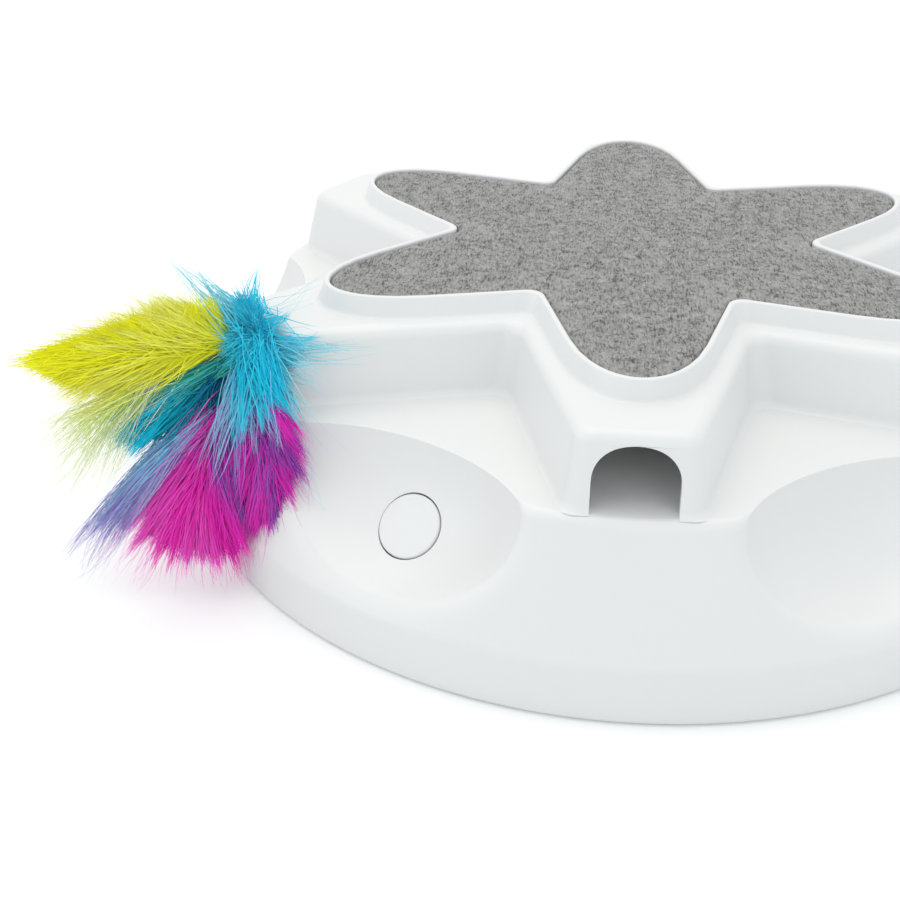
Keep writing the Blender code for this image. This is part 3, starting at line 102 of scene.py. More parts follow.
def mathNode(tree, operation, first, second, clamp=False):
    node = newNode(tree, "Math", {0: first, 1: second})
    node.operation = operation
    node.use_clamp = clamp
    return node.outputs[0]


def rangeNode(tree, value, low, high, newLow, newHigh):
    inputs = {"Value": value, "From Min": low, "From Max": high, "To Min": newLow, "To Max": newHigh}
    return newNode(tree, "MapRange", inputs).outputs["Result"]


def blendNode(tree, share, first, second, mode="MIX"):
    node = newNode(tree, "Mix", {})
    node.data_type = "RGBA"
    node.blend_type = mode
    for label, value in (("Factor", share), ("A", first), ("B", second)):
        feed(tree, [s for s in node.inputs if s.name == label and s.enabled][0], value)
    return [s for s in node.outputs if s.enabled][0]


def greyNode(tree, value):
    return newNode(tree, "CombineColor", {0: value, 1: value, 2: value}).outputs[0]


def bumpNode(tree, height, depth):
    return newNode(tree, "Bump", {"Strength": 1.0, "Height": height, "Distance": depth}).outputs["Normal"]


def placeNode(tree):
    return tree.nodes.new("ShaderNodeTexCoord").outputs["Object"]


def attributeNode(tree, name):
    node = newNode(tree, "Attribute", {})
    node.attribute_name = name
    return node


# Moulded plastic: faint cloudiness, fine grain and slight smears in the gloss
moulded = {
    "inputs": {
        "Colour": (0.8, 0.8, 0.8, 1), "Cloud": 0.02, "Gloss": 0.35, "Smear": 0.05, "Grain": 900.0,
        "Depth": 0.00002,
    },
    "cloudScale": 22, "smearScale": 30, "soft": 0.4,
}


def makeMouldedSkin():
    tree, entry, result = newGroup("mouldedSkin", moulded["inputs"])
    place = placeNode(tree)
    cloud = noiseNode(tree, place, moulded["cloudScale"], 1, moulded["soft"])
    darker = mathNode(tree, "SUBTRACT", 1.0, entry.outputs["Cloud"])
    tone = rangeNode(tree, cloud, 0.3, 0.7, darker, 1.0)
    colour = blendNode(tree, 1.0, entry.outputs["Colour"], greyNode(tree, tone), "MULTIPLY")
    smear = noiseNode(tree, place, moulded["smearScale"], 1, moulded["soft"])
    rough = rangeNode(tree, smear, 0.25, 0.75, entry.outputs["Gloss"],
                      mathNode(tree, "ADD", entry.outputs["Gloss"], entry.outputs["Smear"]))
    grain = noiseNode(tree, place, entry.outputs["Grain"], 2, 0.5)
    return closeGroup(tree, result, colour, rough, bumpNode(tree, grain, entry.outputs["Depth"]))


# Plated or brushed metal: fine scratches along one direction and a spotty gloss
worn = {
    "inputs": {"Colour": (0.6, 0.6, 0.6, 1), "Gloss": 0.3, "Scratch": 0.00001},
    "scratchScale": 2600, "scratchStretch": 0.06, "spotScale": 260, "dull": 0.22,
}


def makeWornMetal():
    tree, entry, result = newGroup("wornMetal", worn["inputs"])
    place = placeNode(tree)
    stretch = newNode(tree, "Mapping", {"Vector": place, "Scale": (1, 1, worn["scratchStretch"])})
    lines = noiseNode(tree, stretch.outputs[0], worn["scratchScale"], 2, 0.6)
    spots = noiseNode(tree, place, worn["spotScale"], 3, 0.6)
    dull = mathNode(tree, "ADD", entry.outputs["Gloss"], worn["dull"])
    rough = rangeNode(tree, spots, 0.35, 0.7, entry.outputs["Gloss"], dull)
    tone = rangeNode(tree, spots, 0.3, 0.75, 1.0, 0.8)
    colour = blendNode(tree, 1.0, entry.outputs["Colour"], greyNode(tree, tone), "MULTIPLY")
    return closeGroup(tree, result, colour, rough, bumpNode(tree, lines, entry.outputs["Scratch"]))


mouldedSkin = makeMouldedSkin()
wornMetal = makeWornMetal()


def newMaterial(name, roughness=0.5, metallic=0.0, specular=0.5, sheen=0.0, colour=(0.8, 0.8, 0.8)):
    material = bpy.data.materials.new(name)
    material.use_nodes = True
    shader = material.node_tree.nodes["Principled BSDF"]
    constants = {"Roughness": roughness, "Metallic": metallic, "Specular IOR Level": specular,
                 "Sheen Weight": sheen, "Base Color": (*colour, 1)}
    for label, value in constants.items():
        shader.inputs[label].default_value = value
    material.diffuse_color = (*colour, 1)
    return material, material.node_tree, shader


def groupMaterial(name, group, colour, metallic, groupValues):
    material, tree, shader = newMaterial(name, metallic=metallic, colour=colour)
    skin = tree.nodes.new("ShaderNodeGroup")
    skin.node_tree = group
    skin.inputs["Colour"].default_value = (*colour, 1)
    for label, value in groupValues.items():
        skin.inputs[label].default_value = value
    for label, target in zip(skinOutputs, ("Base Color", "Roughness", "Normal")):
        tree.links.new(skin.outputs[label], shader.inputs[target])
    return material


# Colour, then the group's other inputs in this order
plasticSockets = ("Cloud", "Gloss", "Smear", "Grain", "Depth")
plasticFinishes = {
    "shellWhite": ((0.822, 0.824, 0.818), 0.006, 0.3, 0.03, 700, 0.000008),
    "buttonWhite": ((0.826, 0.828, 0.823), 0.006, 0.32, 0.03, 800, 0.000008),
    "trayGrey": ((0.6, 0.62, 0.63), 0.04, 0.48, 0.12, 1500, 0.00006),
    "gearNylon": ((0.76, 0.74, 0.66), 0.06, 0.38, 0.1, 900, 0.00003),
    "footRubber": ((0.045, 0.045, 0.05), 0.15, 0.72, 0.15, 2200, 0.00009),
    "cellJacket": ((0.045, 0.05, 0.06), 0.1, 0.24, 0.12, 500, 0.00001),
    "boardGreen": ((0.02, 0.17, 0.075), 0.25, 0.3, 0.15, 1100, 0.00004),
    "leadBlack": ((0.02, 0.02, 0.022), 0.1, 0.45, 0.1, 900, 0.00002),
    "leadRed": ((0.5, 0.02, 0.015), 0.1, 0.42, 0.1, 900, 0.00002),
}
metalSockets = ("Gloss", "Scratch")
metalFinishes = {
    "screwSteel": ((0.58, 0.58, 0.6), 0.26, 0.00002),
    "contactBrass": ((0.72, 0.53, 0.24), 0.24, 0.00001),
}
finishes = {}
for name, (colour, *values) in plasticFinishes.items():
    values = dict(zip(plasticSockets, values))
    finishes[name] = groupMaterial(name, mouldedSkin, colour, 0.0, values)
for name, (colour, *values) in metalFinishes.items():
    values = dict(zip(metalSockets, values))
    finishes[name] = groupMaterial(name, wornMetal, colour, 1.0, values)

slotFinishes = {
    "shell_white": "shellWhite", "tray_grey": "trayGrey", "foot_rubber": "footRubber", "steel": "screwSteel",
    "contact_brass": "contactBrass", "gear_nylon": "gearNylon", "cell_jacket": "cellJacket",
    "board_green": "boardGreen", "lead_black": "leadBlack", "lead_red": "leadRed",
}
for subpart in frame["record"]["subparts"]:
    finish = slotFinishes.get(subpart["material_slot"])
    if finish:
        nodes[subpart["node"]].data.materials.clear()
        nodes[subpart["node"]].data.materials.append(finishes[finish])
print("finishes made")


# Modelling helpers

def addObject(name, data):
    piece = bpy.data.objects.new(name, data)
    bpy.context.scene.collection.objects.link(piece)
    return piece


def deselectAll():
    if bpy.context.object and bpy.context.object.mode != "OBJECT":
        bpy.ops.object.mode_set(mode="OBJECT")
    bpy.ops.object.select_all(action="DESELECT")


def pick(piece):
    deselectAll()
    piece.select_set(True)
    bpy.context.view_layer.objects.active = piece


def selectMesh(action):
    bpy.ops.mesh.select_all(action=action)


def editPiece(piece):
    pick(piece)
    bpy.ops.object.mode_set(mode="EDIT")
    selectMesh("DESELECT")
    return bmesh.from_edit_mesh(piece.data)


def placeSelected(piece, points):
    # each vertex knows its seat in the ring, and takes that seat's new point
    mesh = bmesh.from_edit_mesh(piece.data)
    seat = mesh.verts.layers.int["seat"]
    for vertex in mesh.verts:
        if vertex.select:
            vertex.co = points[vertex[seat]]
    bmesh.update_edit_mesh(piece.data)


def ringPiece(name, rings, closeEnds=True):
    # a ring of points, extruded from level to level
    deselectAll()
    bpy.ops.mesh.primitive_circle_add(vertices=len(rings[0]), radius=0.1)
    piece = bpy.context.object
    piece.name = name
    mesh = editPiece(piece)
    seat = mesh.verts.layers.int.new("seat")
    mesh.verts.ensure_lookup_table()
    for vertex in mesh.verts:
        vertex[seat] = vertex.index
    bmesh.update_edit_mesh(piece.data)
    selectMesh("SELECT")
    placeSelected(piece, rings[0])
    for ring in rings[1:]:
        bpy.ops.mesh.extrude_edges_move()
        placeSelected(piece, ring)
    if closeEnds:
        selectMesh("SELECT")
        bpy.ops.mesh.fill_holes(sides=0)
    selectMesh("SELECT")
    bpy.ops.mesh.normals_make_consistent(inside=False)
    bpy.ops.object.mode_set(mode="OBJECT")
    return piece


def circlePoints(radius, height, sides, place=None):
    turned = place or Matrix()
    angles = [2 * math.pi * i / sides for i in range(sides)]
    return [turned @ Vector((radius * math.cos(a), radius * math.sin(a), height)) for a in angles]


def turnedPiece(name, profile, sides, place=None, closeEnds=True):
    return ringPiece(name, [circlePoints(r, z, sides, place) for r, z in profile], closeEnds)


def applyModifier(piece, kind, **values):
    pick(piece)
    step = piece.modifiers.new(kind.lower(), kind)
    for label, value in values.items():
        setattr(step, label, value)
    bpy.ops.object.modifier_apply(modifier=step.name)


def joinPieces(pieces):
    pick(pieces[0])
    for other in pieces[1:]:
        other.select_set(True)
    bpy.ops.object.join()
    return bpy.context.object


def cutPiece(piece, tool):
    applyModifier(piece, "BOOLEAN", operation="DIFFERENCE", solver="EXACT", object=tool)
    bpy.data.objects.remove(tool, do_unlink=True)


def smoothPiece(piece, degrees=32):
    pick(piece)
    bpy.ops.object.shade_smooth_by_angle(angle=math.radians(degrees))
    applyModifier(piece, "WEIGHTED_NORMAL", keep_sharp=True, weight=60)


def finishPiece(piece, material, body, replaced=()):
    piece.data.materials.clear()
    piece.data.materials.append(material)
    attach(piece, body)
    if replaced:
        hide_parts(*replaced)
    print("piece done:", piece.name, len(piece.data.polygons), "faces")


def arcPoints(centre, radius, start, end, steps):
    angles = [math.radians(start + (end - start) * i / steps) for i in range(steps + 1)]
    return [(centre[0] + radius * math.cos(a), centre[1] + radius * math.sin(a)) for a in angles]


def quarterRound(radius, degrees):
    # how far a quarter round has come in, and how far up, at this angle
    angle = math.radians(degrees)
    return radius * (1 - math.cos(angle)), radius * math.sin(angle)


# Outer shell
shell = {
    "radius": 0.145, "rim": 0.0006, "bandTop": 0.0182, "deck": 0.055, "shoulder": 0.131,
    "shoulderRound": 0.0035, "rimRound": 0.0008, "wall": 0.0024, "hole": 0.0375, "deckSplit": 0.1,
    "weld": 0.000002, "sides": 480, "dishRadius": 0.034, "dishHalfWidth": 0.0495, "dishOut": 0.1454,
    "dishUp": 0.0558, "dishSlope": 44, "dishSoft": 0.28, "dishCore": 0.05, "rimEdge": (-0.0002, 0.0003),
    "bandEdge": ((0, -0.0012), (-0.0001, 0), (-0.0006, 0.0013)),
    "steps": {
        "band": 16, "skirt": 52, "shoulder": 7, "deck": 26, "deckMiddle": 5, "under": 9, "inside": 12,
    },
}
frontArm = math.radians(-90)
armStep = math.radians(60)


def polarPoint(radius, azimuth, height):
    return Vector((radius * math.cos(azimuth), radius * math.sin(azimuth), height))


def steppedLine(start, end, steps):
    run, rise = end[0] - start[0], end[1] - start[1]
    return [(start[0] + run * i / steps, start[1] + rise * i / steps) for i in range(steps)]


def skirtRadius(height):
    rise = min(max((height - shell["bandTop"]) / (shell["deck"] - shell["bandTop"]), 0), 1)
    return shell["radius"] + (shell["shoulder"] - shell["radius"]) * rise


def outerProfile():
    # band, leaning skirt, rounded shoulder and deck, in the steps that the dishes need
    s, steps = shell, shell["steps"]
    slope = math.atan2(s["deck"] - s["bandTop"], s["radius"] - s["shoulder"])
    reach = s["shoulderRound"] * math.tan(slope / 2)
    middle = (s["shoulder"] - reach, s["deck"] - s["shoulderRound"])
    shoulder = arcPoints(middle, s["shoulderRound"], 90 - math.degrees(slope), 90, steps["shoulder"])
    edge = [(s["radius"] + out, s["bandTop"] + up) for out, up in s["bandEdge"]]
    split = (s["deckSplit"], s["deck"])
    points = [(s["radius"] - s["rimRound"], s["rim"]),
              (s["radius"] + s["rimEdge"][0], s["rim"] + s["rimEdge"][1])]
    points += steppedLine((s["radius"], s["rim"] + s["rimRound"]), edge[0], steps["band"]) + edge[:2]
    points += steppedLine(edge[2], shoulder[0], steps["skirt"]) + shoulder[:-1]
    points += steppedLine(shoulder[-1], split, steps["deck"])
    return points + steppedLine(split, (s["hole"], s["deck"]), steps["deckMiddle"]) + [(s["hole"], s["deck"])]


def innerProfile():
    s, steps = shell, shell["steps"]
    inside = s["radius"] - s["wall"]
    corner = (s["shoulder"] - s["wall"], s["deck"] - s["wall"])
    points = steppedLine((s["hole"], s["deck"] - s["wall"]), corner, steps["under"])
    points += steppedLine(corner, (inside, s["bandTop"]), steps["inside"])
    return points + [(inside, s["bandTop"]), (inside, s["rim"])]


def dishFrame(azimuth):
    centre = polarPoint(shell["dishOut"], azimuth, shell["dishUp"])
    tip = Matrix.Rotation(math.pi / 2 - math.radians(shell["dishSlope"]), 4, "Y")
    return Matrix.Translation(centre) @ Matrix.Rotation(azimuth, 4, "Z") @ tip


def dishedPoint(radius, turn, height, wall):
    # press one dish into the wall, with a soft edge: turn is measured from the dish's middle
    s = shell
    point = Vector((radius * math.cos(turn), radius * math.sin(turn), height))
    away = point - Vector((s["dishOut"], 0, s["dishUp"]))
    around = math.hypot(away.x, away.z) / (s["dishRadius"] + wall)
    depth = math.hypot(around, away.y / (s["dishHalfWidth"] + wall))
    lack = 1 / max(depth, s["dishCore"]) - 1
    soft = s["dishSoft"]
    push = lack if lack > soft else (lack + soft) ** 2 / (4 * soft) if lack > -soft else 0
    return point + away * push


def shellRing(radius, height, wall):
    sides = shell["sides"]
    share = sides // 6
    sector = [dishedPoint(radius, armStep * (i / share - 0.5), height, wall) for i in range(share)]
    turns = [Matrix.Rotation(frontArm + armStep * (arm + 0.5), 3, "Z") for arm in range(6)]
    return [turn @ point for turn in turns for point in sector]


def makeShell():
    s = shell
    rings = [shellRing(r, z, 0) for r, z in outerProfile()]
    rings += [shellRing(r, z, s["wall"]) for r, z in innerProfile()]
    piece = ringPiece("shellSkin", rings + rings[:1], False)
    editPiece(piece)
    selectMesh("SELECT")
    bpy.ops.mesh.remove_doubles(threshold=s["weld"])
    bpy.ops.mesh.normals_make_consistent(inside=False)
    bpy.ops.object.mode_set(mode="OBJECT")
    hole = [(button["radius"] + button["gap"], level) for level in button["holeLevels"]]
    cutPiece(piece, turnedPiece("buttonHole", hole, button["sides"], buttonPlace))
    return piece


button = {
    "azimuth": frontArm - armStep / 2, "radius": 0.0095, "gap": 0.0004, "edge": 0.0007, "proud": 0.0003,
    "crown": 0.00045, "flange": 0.0115, "flangeTop": -0.00205, "flangeLow": -0.0034, "stem": 0.0032,
    "stemEnd": -0.0081, "holeLevels": (-0.004, 0.006), "sides": 96,
    "crownShares": (0.85, 0.7, 0.5, 0.3, 0.12, 0.02),
}
buttonPlace = dishFrame(button["azimuth"]) @ Matrix.Translation((0, 0, -shell["dishRadius"]))
shellSkin = makeShell()
smoothPiece(shellSkin, 38)
finishPiece(shellSkin, finishes["shellWhite"], "base", ["outer_shell"])


# Star housing
star = {
    "notch": 0.056, "tip": 0.1045, "taper": 15.5, "top": 0.083, "wall": 0.0024, "lip": 0.0018,
    "crest": 0.0007, "tipRound": 0.0105, "lipFoot": 0.0032, "lipSoft": 0.0014, "ledgeDrop": 0.0062,
    "ledgeFall": 0.001, "ledgeOut": 0.0088, "ledgeRound": 0.0036, "wallFoot": 0.011, "face": 0.128,
    "faceLean": 0.0032, "corner": 0.006, "lipNotch": 0.0045, "wallNotch": 0.0055, "pocket": 0.0779,
    "plate": 0.002, "points": 9, "footSoft": 0.003, "footOut": 0.8, "footFace": 0.5, "footNotch": 0.001,
    "footSink": 0.00012, "archWidth": 0.023, "archSide": 0.0084, "archRise": 0.0098, "archSquare": 2.2,
    "archSoft": 0.0007, "archSink": -0.002, "archReach": (0.108, 0.134), "archSteps": 24, "weld": 0.00008,
    "sharp": 50, "edgeOut": 0.122, "edgeHalf": 0.0118, "edgeLow": 0.0554, "edgeHigh": 0.0738,
    "fine": (0, 15, 30, 45, 60, 75), "coarse": (0, 30, 60, 90), "ledgeLast": 88,
}
taper = math.radians(star["taper"])


def sideAt(along, offset):
    notchSide = star["notch"] * math.sin(armStep / 2)
    notchAlong = star["notch"] * math.cos(armStep / 2)
    return notchSide - math.tan(taper) * (along - notchAlong) + offset / math.cos(taper)


def tipEllipse():
    # half lengths of the ellipse that rounds an arm's tip and runs into its sides
    side = sideAt(star["tip"], 0)
    reach = side ** 2 / (star["tipRound"] - 2 * side * math.tan(taper))
    return reach, math.sqrt(star["tipRound"] * reach)


def armEnd(offset, face, corner):
    points = star["points"]
    span = math.pi / 2 - taper
    if face is None:
        reach, half = tipEllipse()
        outline = []
        for i in range(points):
            facing = span * (i + 0.5) / (points - 0.5)
            angle = math.atan2(half * math.sin(facing), reach * math.cos(facing))
            outline.append((star["tip"] - reach * (1 - math.cos(angle)) + offset * math.cos(facing),
                            half * math.sin(angle) + offset * math.sin(facing)))
        return outline
    middle = (face - corner, sideAt(face - corner, offset) - corner / math.cos(taper))
    angles = [span * i / (points - 1) for i in range(points)]
    return [(middle[0] + corner * math.cos(a), middle[1] + corner * math.sin(a)) for a in angles]


def starRing(offset, height, notchRound, face=None, corner=None):
    half = armStep / 2 + taper
    notch = star["notch"] + offset / math.sin(half)
    middle = notch + notchRound / math.sin(half)
    sweep = math.pi / 2 - half
    end = armEnd(offset, face, corner or star["corner"])
    outline = []
    for arm in range(6):
        azimuth = frontArm + arm * armStep
        turn = Matrix.Rotation(azimuth, 4, "Z")
        outline += [turn @ Vector((x, y, height)) for x, y in [(x, -y) for x, y in reversed(end)] + end]
        bisector = azimuth + armStep / 2
        centre = polarPoint(middle, bisector, height)
        for i in range(star["points"]):
            turned = sweep * (1 - 2 * i / (star["points"] - 1))
            outline.append(centre + polarPoint(notchRound, bisector + math.pi + turned, 0))
    return outline


def archTool(azimuth):
    half, power, steps = star["archWidth"] / 2, 2 / star["archSquare"], star["archSteps"]
    outline = [(half, star["archSink"])]
    for i in range(steps + 1):
        angle = math.pi * i / steps
        across = math.copysign(abs(math.cos(angle)) ** power, math.cos(angle))
        up = max(math.sin(angle), 0) ** power if 0 < i < steps else 0
        outline.append((half * across, star["archSide"] + star["archRise"] * up))
    outline.append((-half, star["archSink"]))
    turn = Matrix.Rotation(azimuth, 4, "Z")
    return ringPiece("archTool", [[turn @ Vector((out, across, shell["deck"] + up)) for across, up in outline]
                                  for out in star["archReach"]])


def makeStar():
    s = star
    faceTop = s["face"] - s["faceLean"]
    ledgeIn = s["top"] - s["ledgeDrop"]
    ledgeEdge = ledgeIn - s["ledgeFall"]
    ceiling = s["pocket"] - s["plate"]
    under = ledgeEdge - s["wall"]
    lipNotch, wallNotch, foot = s["lipNotch"], s["wallNotch"], shell["deck"] - s["footSink"]
    rings = [starRing(-s["lip"], ceiling, lipNotch), starRing(-s["lip"], under, lipNotch),
             starRing(s["ledgeOut"] - s["wall"], under, wallNotch, faceTop - s["wall"]),
             starRing(s["wallFoot"] - s["wall"], foot, wallNotch, s["face"] - s["wall"])]
    # foot with a small fillet onto the deck, then the leaning outer wall
    for degrees in (*s["fine"], 90):
        up, far = quarterRound(s["footSoft"], degrees)
        out = s["footSoft"] - far
        rings.append(starRing(s["wallFoot"] + out * s["footOut"], foot + up, wallNotch + s["footNotch"],
                              s["face"] + out * s["footFace"]))
    ledge = s["ledgeOut"] - s["lipFoot"]
    rise = ledgeIn - s["ledgeFall"] * (ledge - s["ledgeRound"]) / ledge - ledgeEdge + s["ledgeRound"]
    for degrees in (*s["fine"], s["ledgeLast"]):
        out = quarterRound(s["ledgeRound"], degrees)[0]
        level = ledgeEdge - s["ledgeRound"] + quarterRound(rise, degrees)[1]
        rings.append(starRing(s["ledgeOut"] - out, level, wallNotch, faceTop - out))
    for degrees in s["coarse"]:
        up, inward = quarterRound(s["lipSoft"], degrees)
        rings.append(starRing(s["lipFoot"] + s["lipSoft"] - inward, ledgeIn + up, lipNotch))
    crest = [quarterRound(s["crest"], degrees) for degrees in s["coarse"]]
    rings += [starRing(s["lip"] - out, s["top"] - s["crest"] + up, lipNotch) for out, up in crest]
    rings += [starRing(out, s["top"] - s["crest"] + up, lipNotch) for out, up in crest[::-1]]
    rings.append(starRing(0, s["pocket"], lipNotch))
    piece = ringPiece("starSkin", rings)
    cutPiece(piece, joinPieces([archTool(frontArm + arm * armStep) for arm in range(6)]))
    # round the arches' outer edges
    editPiece(piece)
    selectMesh("SELECT")
    bpy.ops.mesh.remove_doubles(threshold=s["weld"])
    selectMesh("DESELECT")
    bpy.ops.mesh.select_mode(type="EDGE")
    mesh = bmesh.from_edit_mesh(piece.data)
    turns = [Matrix.Rotation(-(frontArm + arm * armStep), 4, "Z") for arm in range(6)]
    for edge in mesh.edges:
        if len(edge.link_faces) != 2 or edge.calc_face_angle(0) < math.radians(s["sharp"]):
            continue
        middle = (edge.verts[0].co + edge.verts[1].co) / 2
        for turn in turns:
            at = turn @ middle
            if at.x > s["edgeOut"] and abs(at.y) < s["edgeHalf"] and s["edgeLow"] < at.z < s["edgeHigh"]:
                edge.select = True
    bmesh.update_edit_mesh(piece.data)
    bpy.ops.mesh.bevel(offset=s["archSoft"], segments=3, profile=0.5, clamp_overlap=True)
    bpy.ops.mesh.select_mode(type="VERT")
    bpy.ops.object.mode_set(mode="OBJECT")
    return piece


starSkin = makeStar()
smoothPiece(starSkin, 34)
finishPiece(starSkin, finishes["shellWhite"], "base", ["star_housing"])


# Power button
def makeButton():
    b = button
    dip = shell["dishRadius"] - math.sqrt(shell["dishRadius"] ** 2 - b["radius"] ** 2)
    low = dip + b["proud"] - b["edge"]
    inner = b["radius"] - b["edge"]
    profile = [(b["stem"], b["stemEnd"]), (b["stem"], b["flangeLow"]), (b["flange"], b["flangeLow"]),
               (b["flange"], b["flangeTop"]), (b["radius"], b["flangeTop"]), (b["radius"], low)]
    profile += arcPoints((inner, low), b["edge"], 20, 90, 4)
    for share in b["crownShares"]:
        profile.append((inner * share, low + b["edge"] + b["crown"] * (1 - share ** 2)))
    return turnedPiece("buttonCap", profile, b["sides"], buttonPlace)


buttonCap = makeButton()
smoothPiece(buttonCap, 40)
finishPiece(buttonCap, finishes["buttonWhite"], "button", ["power_button"])


# Felt scratching pad
felt = {
    "clearance": 0.0004, "low": 0.0782, "high": 0.0822, "edge": 0.0009, "edgeSteps": (35, 65, 90),
    "seed": 5, "layers": ((0.4, 0.22, 1700), (1.5, 0.25, 1450), (2.5, 0.2, 1950)), "layerShare": 0.72,
    "patchScale": 300, "patchShare": 0.28, "relief": 0.0009,
    "stops": [
        (0.37, (0.028, 0.028, 0.027)), (0.435, (0.105, 0.104, 0.101)), (0.485, (0.265, 0.262, 0.254)),
        (0.60, (0.41, 0.405, 0.39)),
    ],
    "fibres": 15000, "fuzz": 0.00022, "sink": -0.00008, "reach": 0.104, "margin": 0.0016,
    "endMargin": 0.0008, "length": (0.0012, 0.004), "width": (0.00005, 0.00012), "bend": 0.9,
    "shades": (0.015, 0.02, 0.03, 0.05, 0.08, 0.14, 0.22, 0.3, 0.38),
}


def makeFeltMaterial():
    grey = (0.2, 0.2, 0.2)
    material, tree, shader = newMaterial("needledFelt", 0.92, specular=0.2, sheen=0.35, colour=grey)
    place = placeNode(tree)
    total = None
    for turn, stretch, scale in felt["layers"]:
        inputs = {"Vector": place, "Rotation": (0, 0, turn), "Scale": (1, stretch, 1)}
        mapping = newNode(tree, "Mapping", inputs)
        layer = noiseNode(tree, mapping.outputs[0], scale, 3, 0.62)
        total = layer if total is None else mathNode(tree, "ADD", total, layer)
    fibres = mathNode(tree, "DIVIDE", total, len(felt["layers"]))
    patches = noiseNode(tree, place, felt["patchScale"], 4, 0.62)
    mixed = mathNode(tree, "ADD", mathNode(tree, "MULTIPLY", fibres, felt["layerShare"]),
                     mathNode(tree, "MULTIPLY", patches, felt["patchShare"]))
    ramp = tree.nodes.new("ShaderNodeValToRGB")
    stops, elements = felt["stops"], ramp.color_ramp.elements
    for element, (position, colour) in zip(elements, (stops[0], stops[-1])):
        element.position, element.color = position, (*colour, 1)
    for position, colour in stops[1:-1]:
        elements.new(position).color = (*colour, 1)
    tree.links.new(mixed, ramp.inputs["Fac"])
    tree.links.new(ramp.outputs["Color"], shader.inputs["Base Color"])
    tree.links.new(bumpNode(tree, mixed, felt["relief"]), shader.inputs["Normal"])
    return material


def insideStar(x, y, margin):
    azimuth = math.atan2(y, x)
    arm = round((azimuth - frontArm) / armStep)
    turned = azimuth - frontArm - arm * armStep
    radius = math.hypot(x, y)
    along, side = radius * math.cos(turned), abs(radius * math.sin(turned))
    reach, half = tipEllipse()
    beyond = max(along - star["tip"] + reach, 0) / (reach - margin)
    return side < sideAt(along, -margin) and beyond ** 2 + (side / (half - margin)) ** 2 < 1


def makePad():
    f, side = felt, felt["high"] - felt["edge"]
    rings = [starRing(-f["clearance"], level, star["lipNotch"]) for level in (f["low"], side)]
    for degrees in f["edgeSteps"]:
        inward, up = quarterRound(f["edge"], degrees)
        rings.append(starRing(-f["clearance"] - inward, side + up, star["lipNotch"]))
    piece = ringPiece("feltPad", rings)
    smoothPiece(piece, 50)
    return piece


def makeFibres():
    # short fibres matted on the pad, each a thin bent ribbon
    f = felt
    chance = random.Random(f["seed"])
    points, faces, shades = [], [], []
    while len(faces) < f["fibres"] * 2:
        x, y = chance.uniform(-f["reach"], f["reach"]), chance.uniform(-f["reach"], f["reach"])
        if not insideStar(x, y, f["margin"]):
            continue
        heading = chance.uniform(0, 2 * math.pi)
        length = chance.uniform(*f["length"])
        width = chance.uniform(*f["width"])
        bend = chance.uniform(-f["bend"], f["bend"])
        lift = chance.uniform(0.0, f["fuzz"])
        shade = chance.choice(f["shades"])
        base = len(points)
        for step in range(3):
            turn = heading + bend * (step - 1)
            if step:
                x += math.cos(turn) * length / 2
                y += math.sin(turn) * length / 2
            if not insideStar(x, y, f["endMargin"]):
                break
            height = f["high"] + (lift if step == 1 else f["sink"])
            across = Vector((-math.sin(turn), math.cos(turn), 0)) * width / 2
            points += [Vector((x, y, height)) + across, Vector((x, y, height)) - across]
            shades += [shade, shade]
        made = (len(points) - base) // 2
        for step in range(made - 1):
            a = base + step * 2
            faces.append((a, a + 1, a + 3, a + 2))
    mesh = bpy.data.meshes.new("feltFibres")
    mesh.from_pydata([tuple(p) for p in points], [], faces)
    layer = mesh.attributes.new("shade", "FLOAT", "POINT")
    layer.data.foreach_set("value", shades)
    return addObject("feltFibres", mesh)


def makeFibreMaterial():
    # each fibre carries its own shade of grey
    white = (1.0, 1.0, 1.0)
    material, tree, shader = newMaterial("feltFibre", 0.9, specular=0.25, sheen=0.3, colour=white)
    colour = blendNode(tree, attributeNode(tree, "shade").outputs["Fac"], (0.0, 0.0, 0.0), white)
    tree.links.new(colour, shader.inputs["Base Color"])
    return material


feltPad = makePad()
finishPiece(feltPad, makeFeltMaterial(), "base", ["scratch_pad"])
feltFibres = makeFibres()
finishPiece(feltFibres, makeFibreMaterial(), "base")


# Feather lure. Places are given along the wand's arm, to its side and above its rod
wandLow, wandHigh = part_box("wand_rod")
wandHeight = (wandLow.z + wandHigh.z) / 2
wandFrame = Matrix.Translation((0, 0, wandHeight)) @ Matrix.Rotation(frontArm - armStep, 4, "Z")
lure = {
    "steps": 6, "wallOut": 0.1288, "wallGap": 0.0006, "skirtGap": 0.0009, "floorGap": 0.0012,
    "ledge": 0.0772, "ceiling": 0.0945, "dishTurn": math.radians(12), "wave": 0.018, "swing": (4, 8),
    "narrow": 0.8,
    "rootSpread": 0.08, "barbSpread": 0.1, "tipJitter": 0.0008, "rootJitter": 0.0013, "endJitter": 0.0006,
    "lockReach": (0.86, 1.1), "strayFrom": 1.02, "lockTone": 0.04, "barbTone": 0.02, "thinLock": 8,
}
dyes = {
    "yellow": (1.0, 0.98, 0.015), "lemon": (1.0, 0.99, 0.2), "straw": (0.88, 0.91, 0.58),
    "lime": (0.58, 0.8, 0.08), "aqua": (0.004, 0.64, 0.88), "sky": (0.06, 0.74, 0.93),
    "mist": (0.42, 0.8, 0.86), "teal": (0.0, 0.34, 0.46), "green": (0.05, 0.48, 0.36),
    "navy": (0.0, 0.07, 0.2), "lilac": (0.42, 0.48, 0.78), "violet": (0.3, 0.12, 0.58),
    "purple": (0.4, 0.05, 0.48), "magenta": (1.0, 0.02, 0.58), "pink": (1.0, 0.11, 0.68),
    "wine": (0.5, 0.003, 0.24),
}


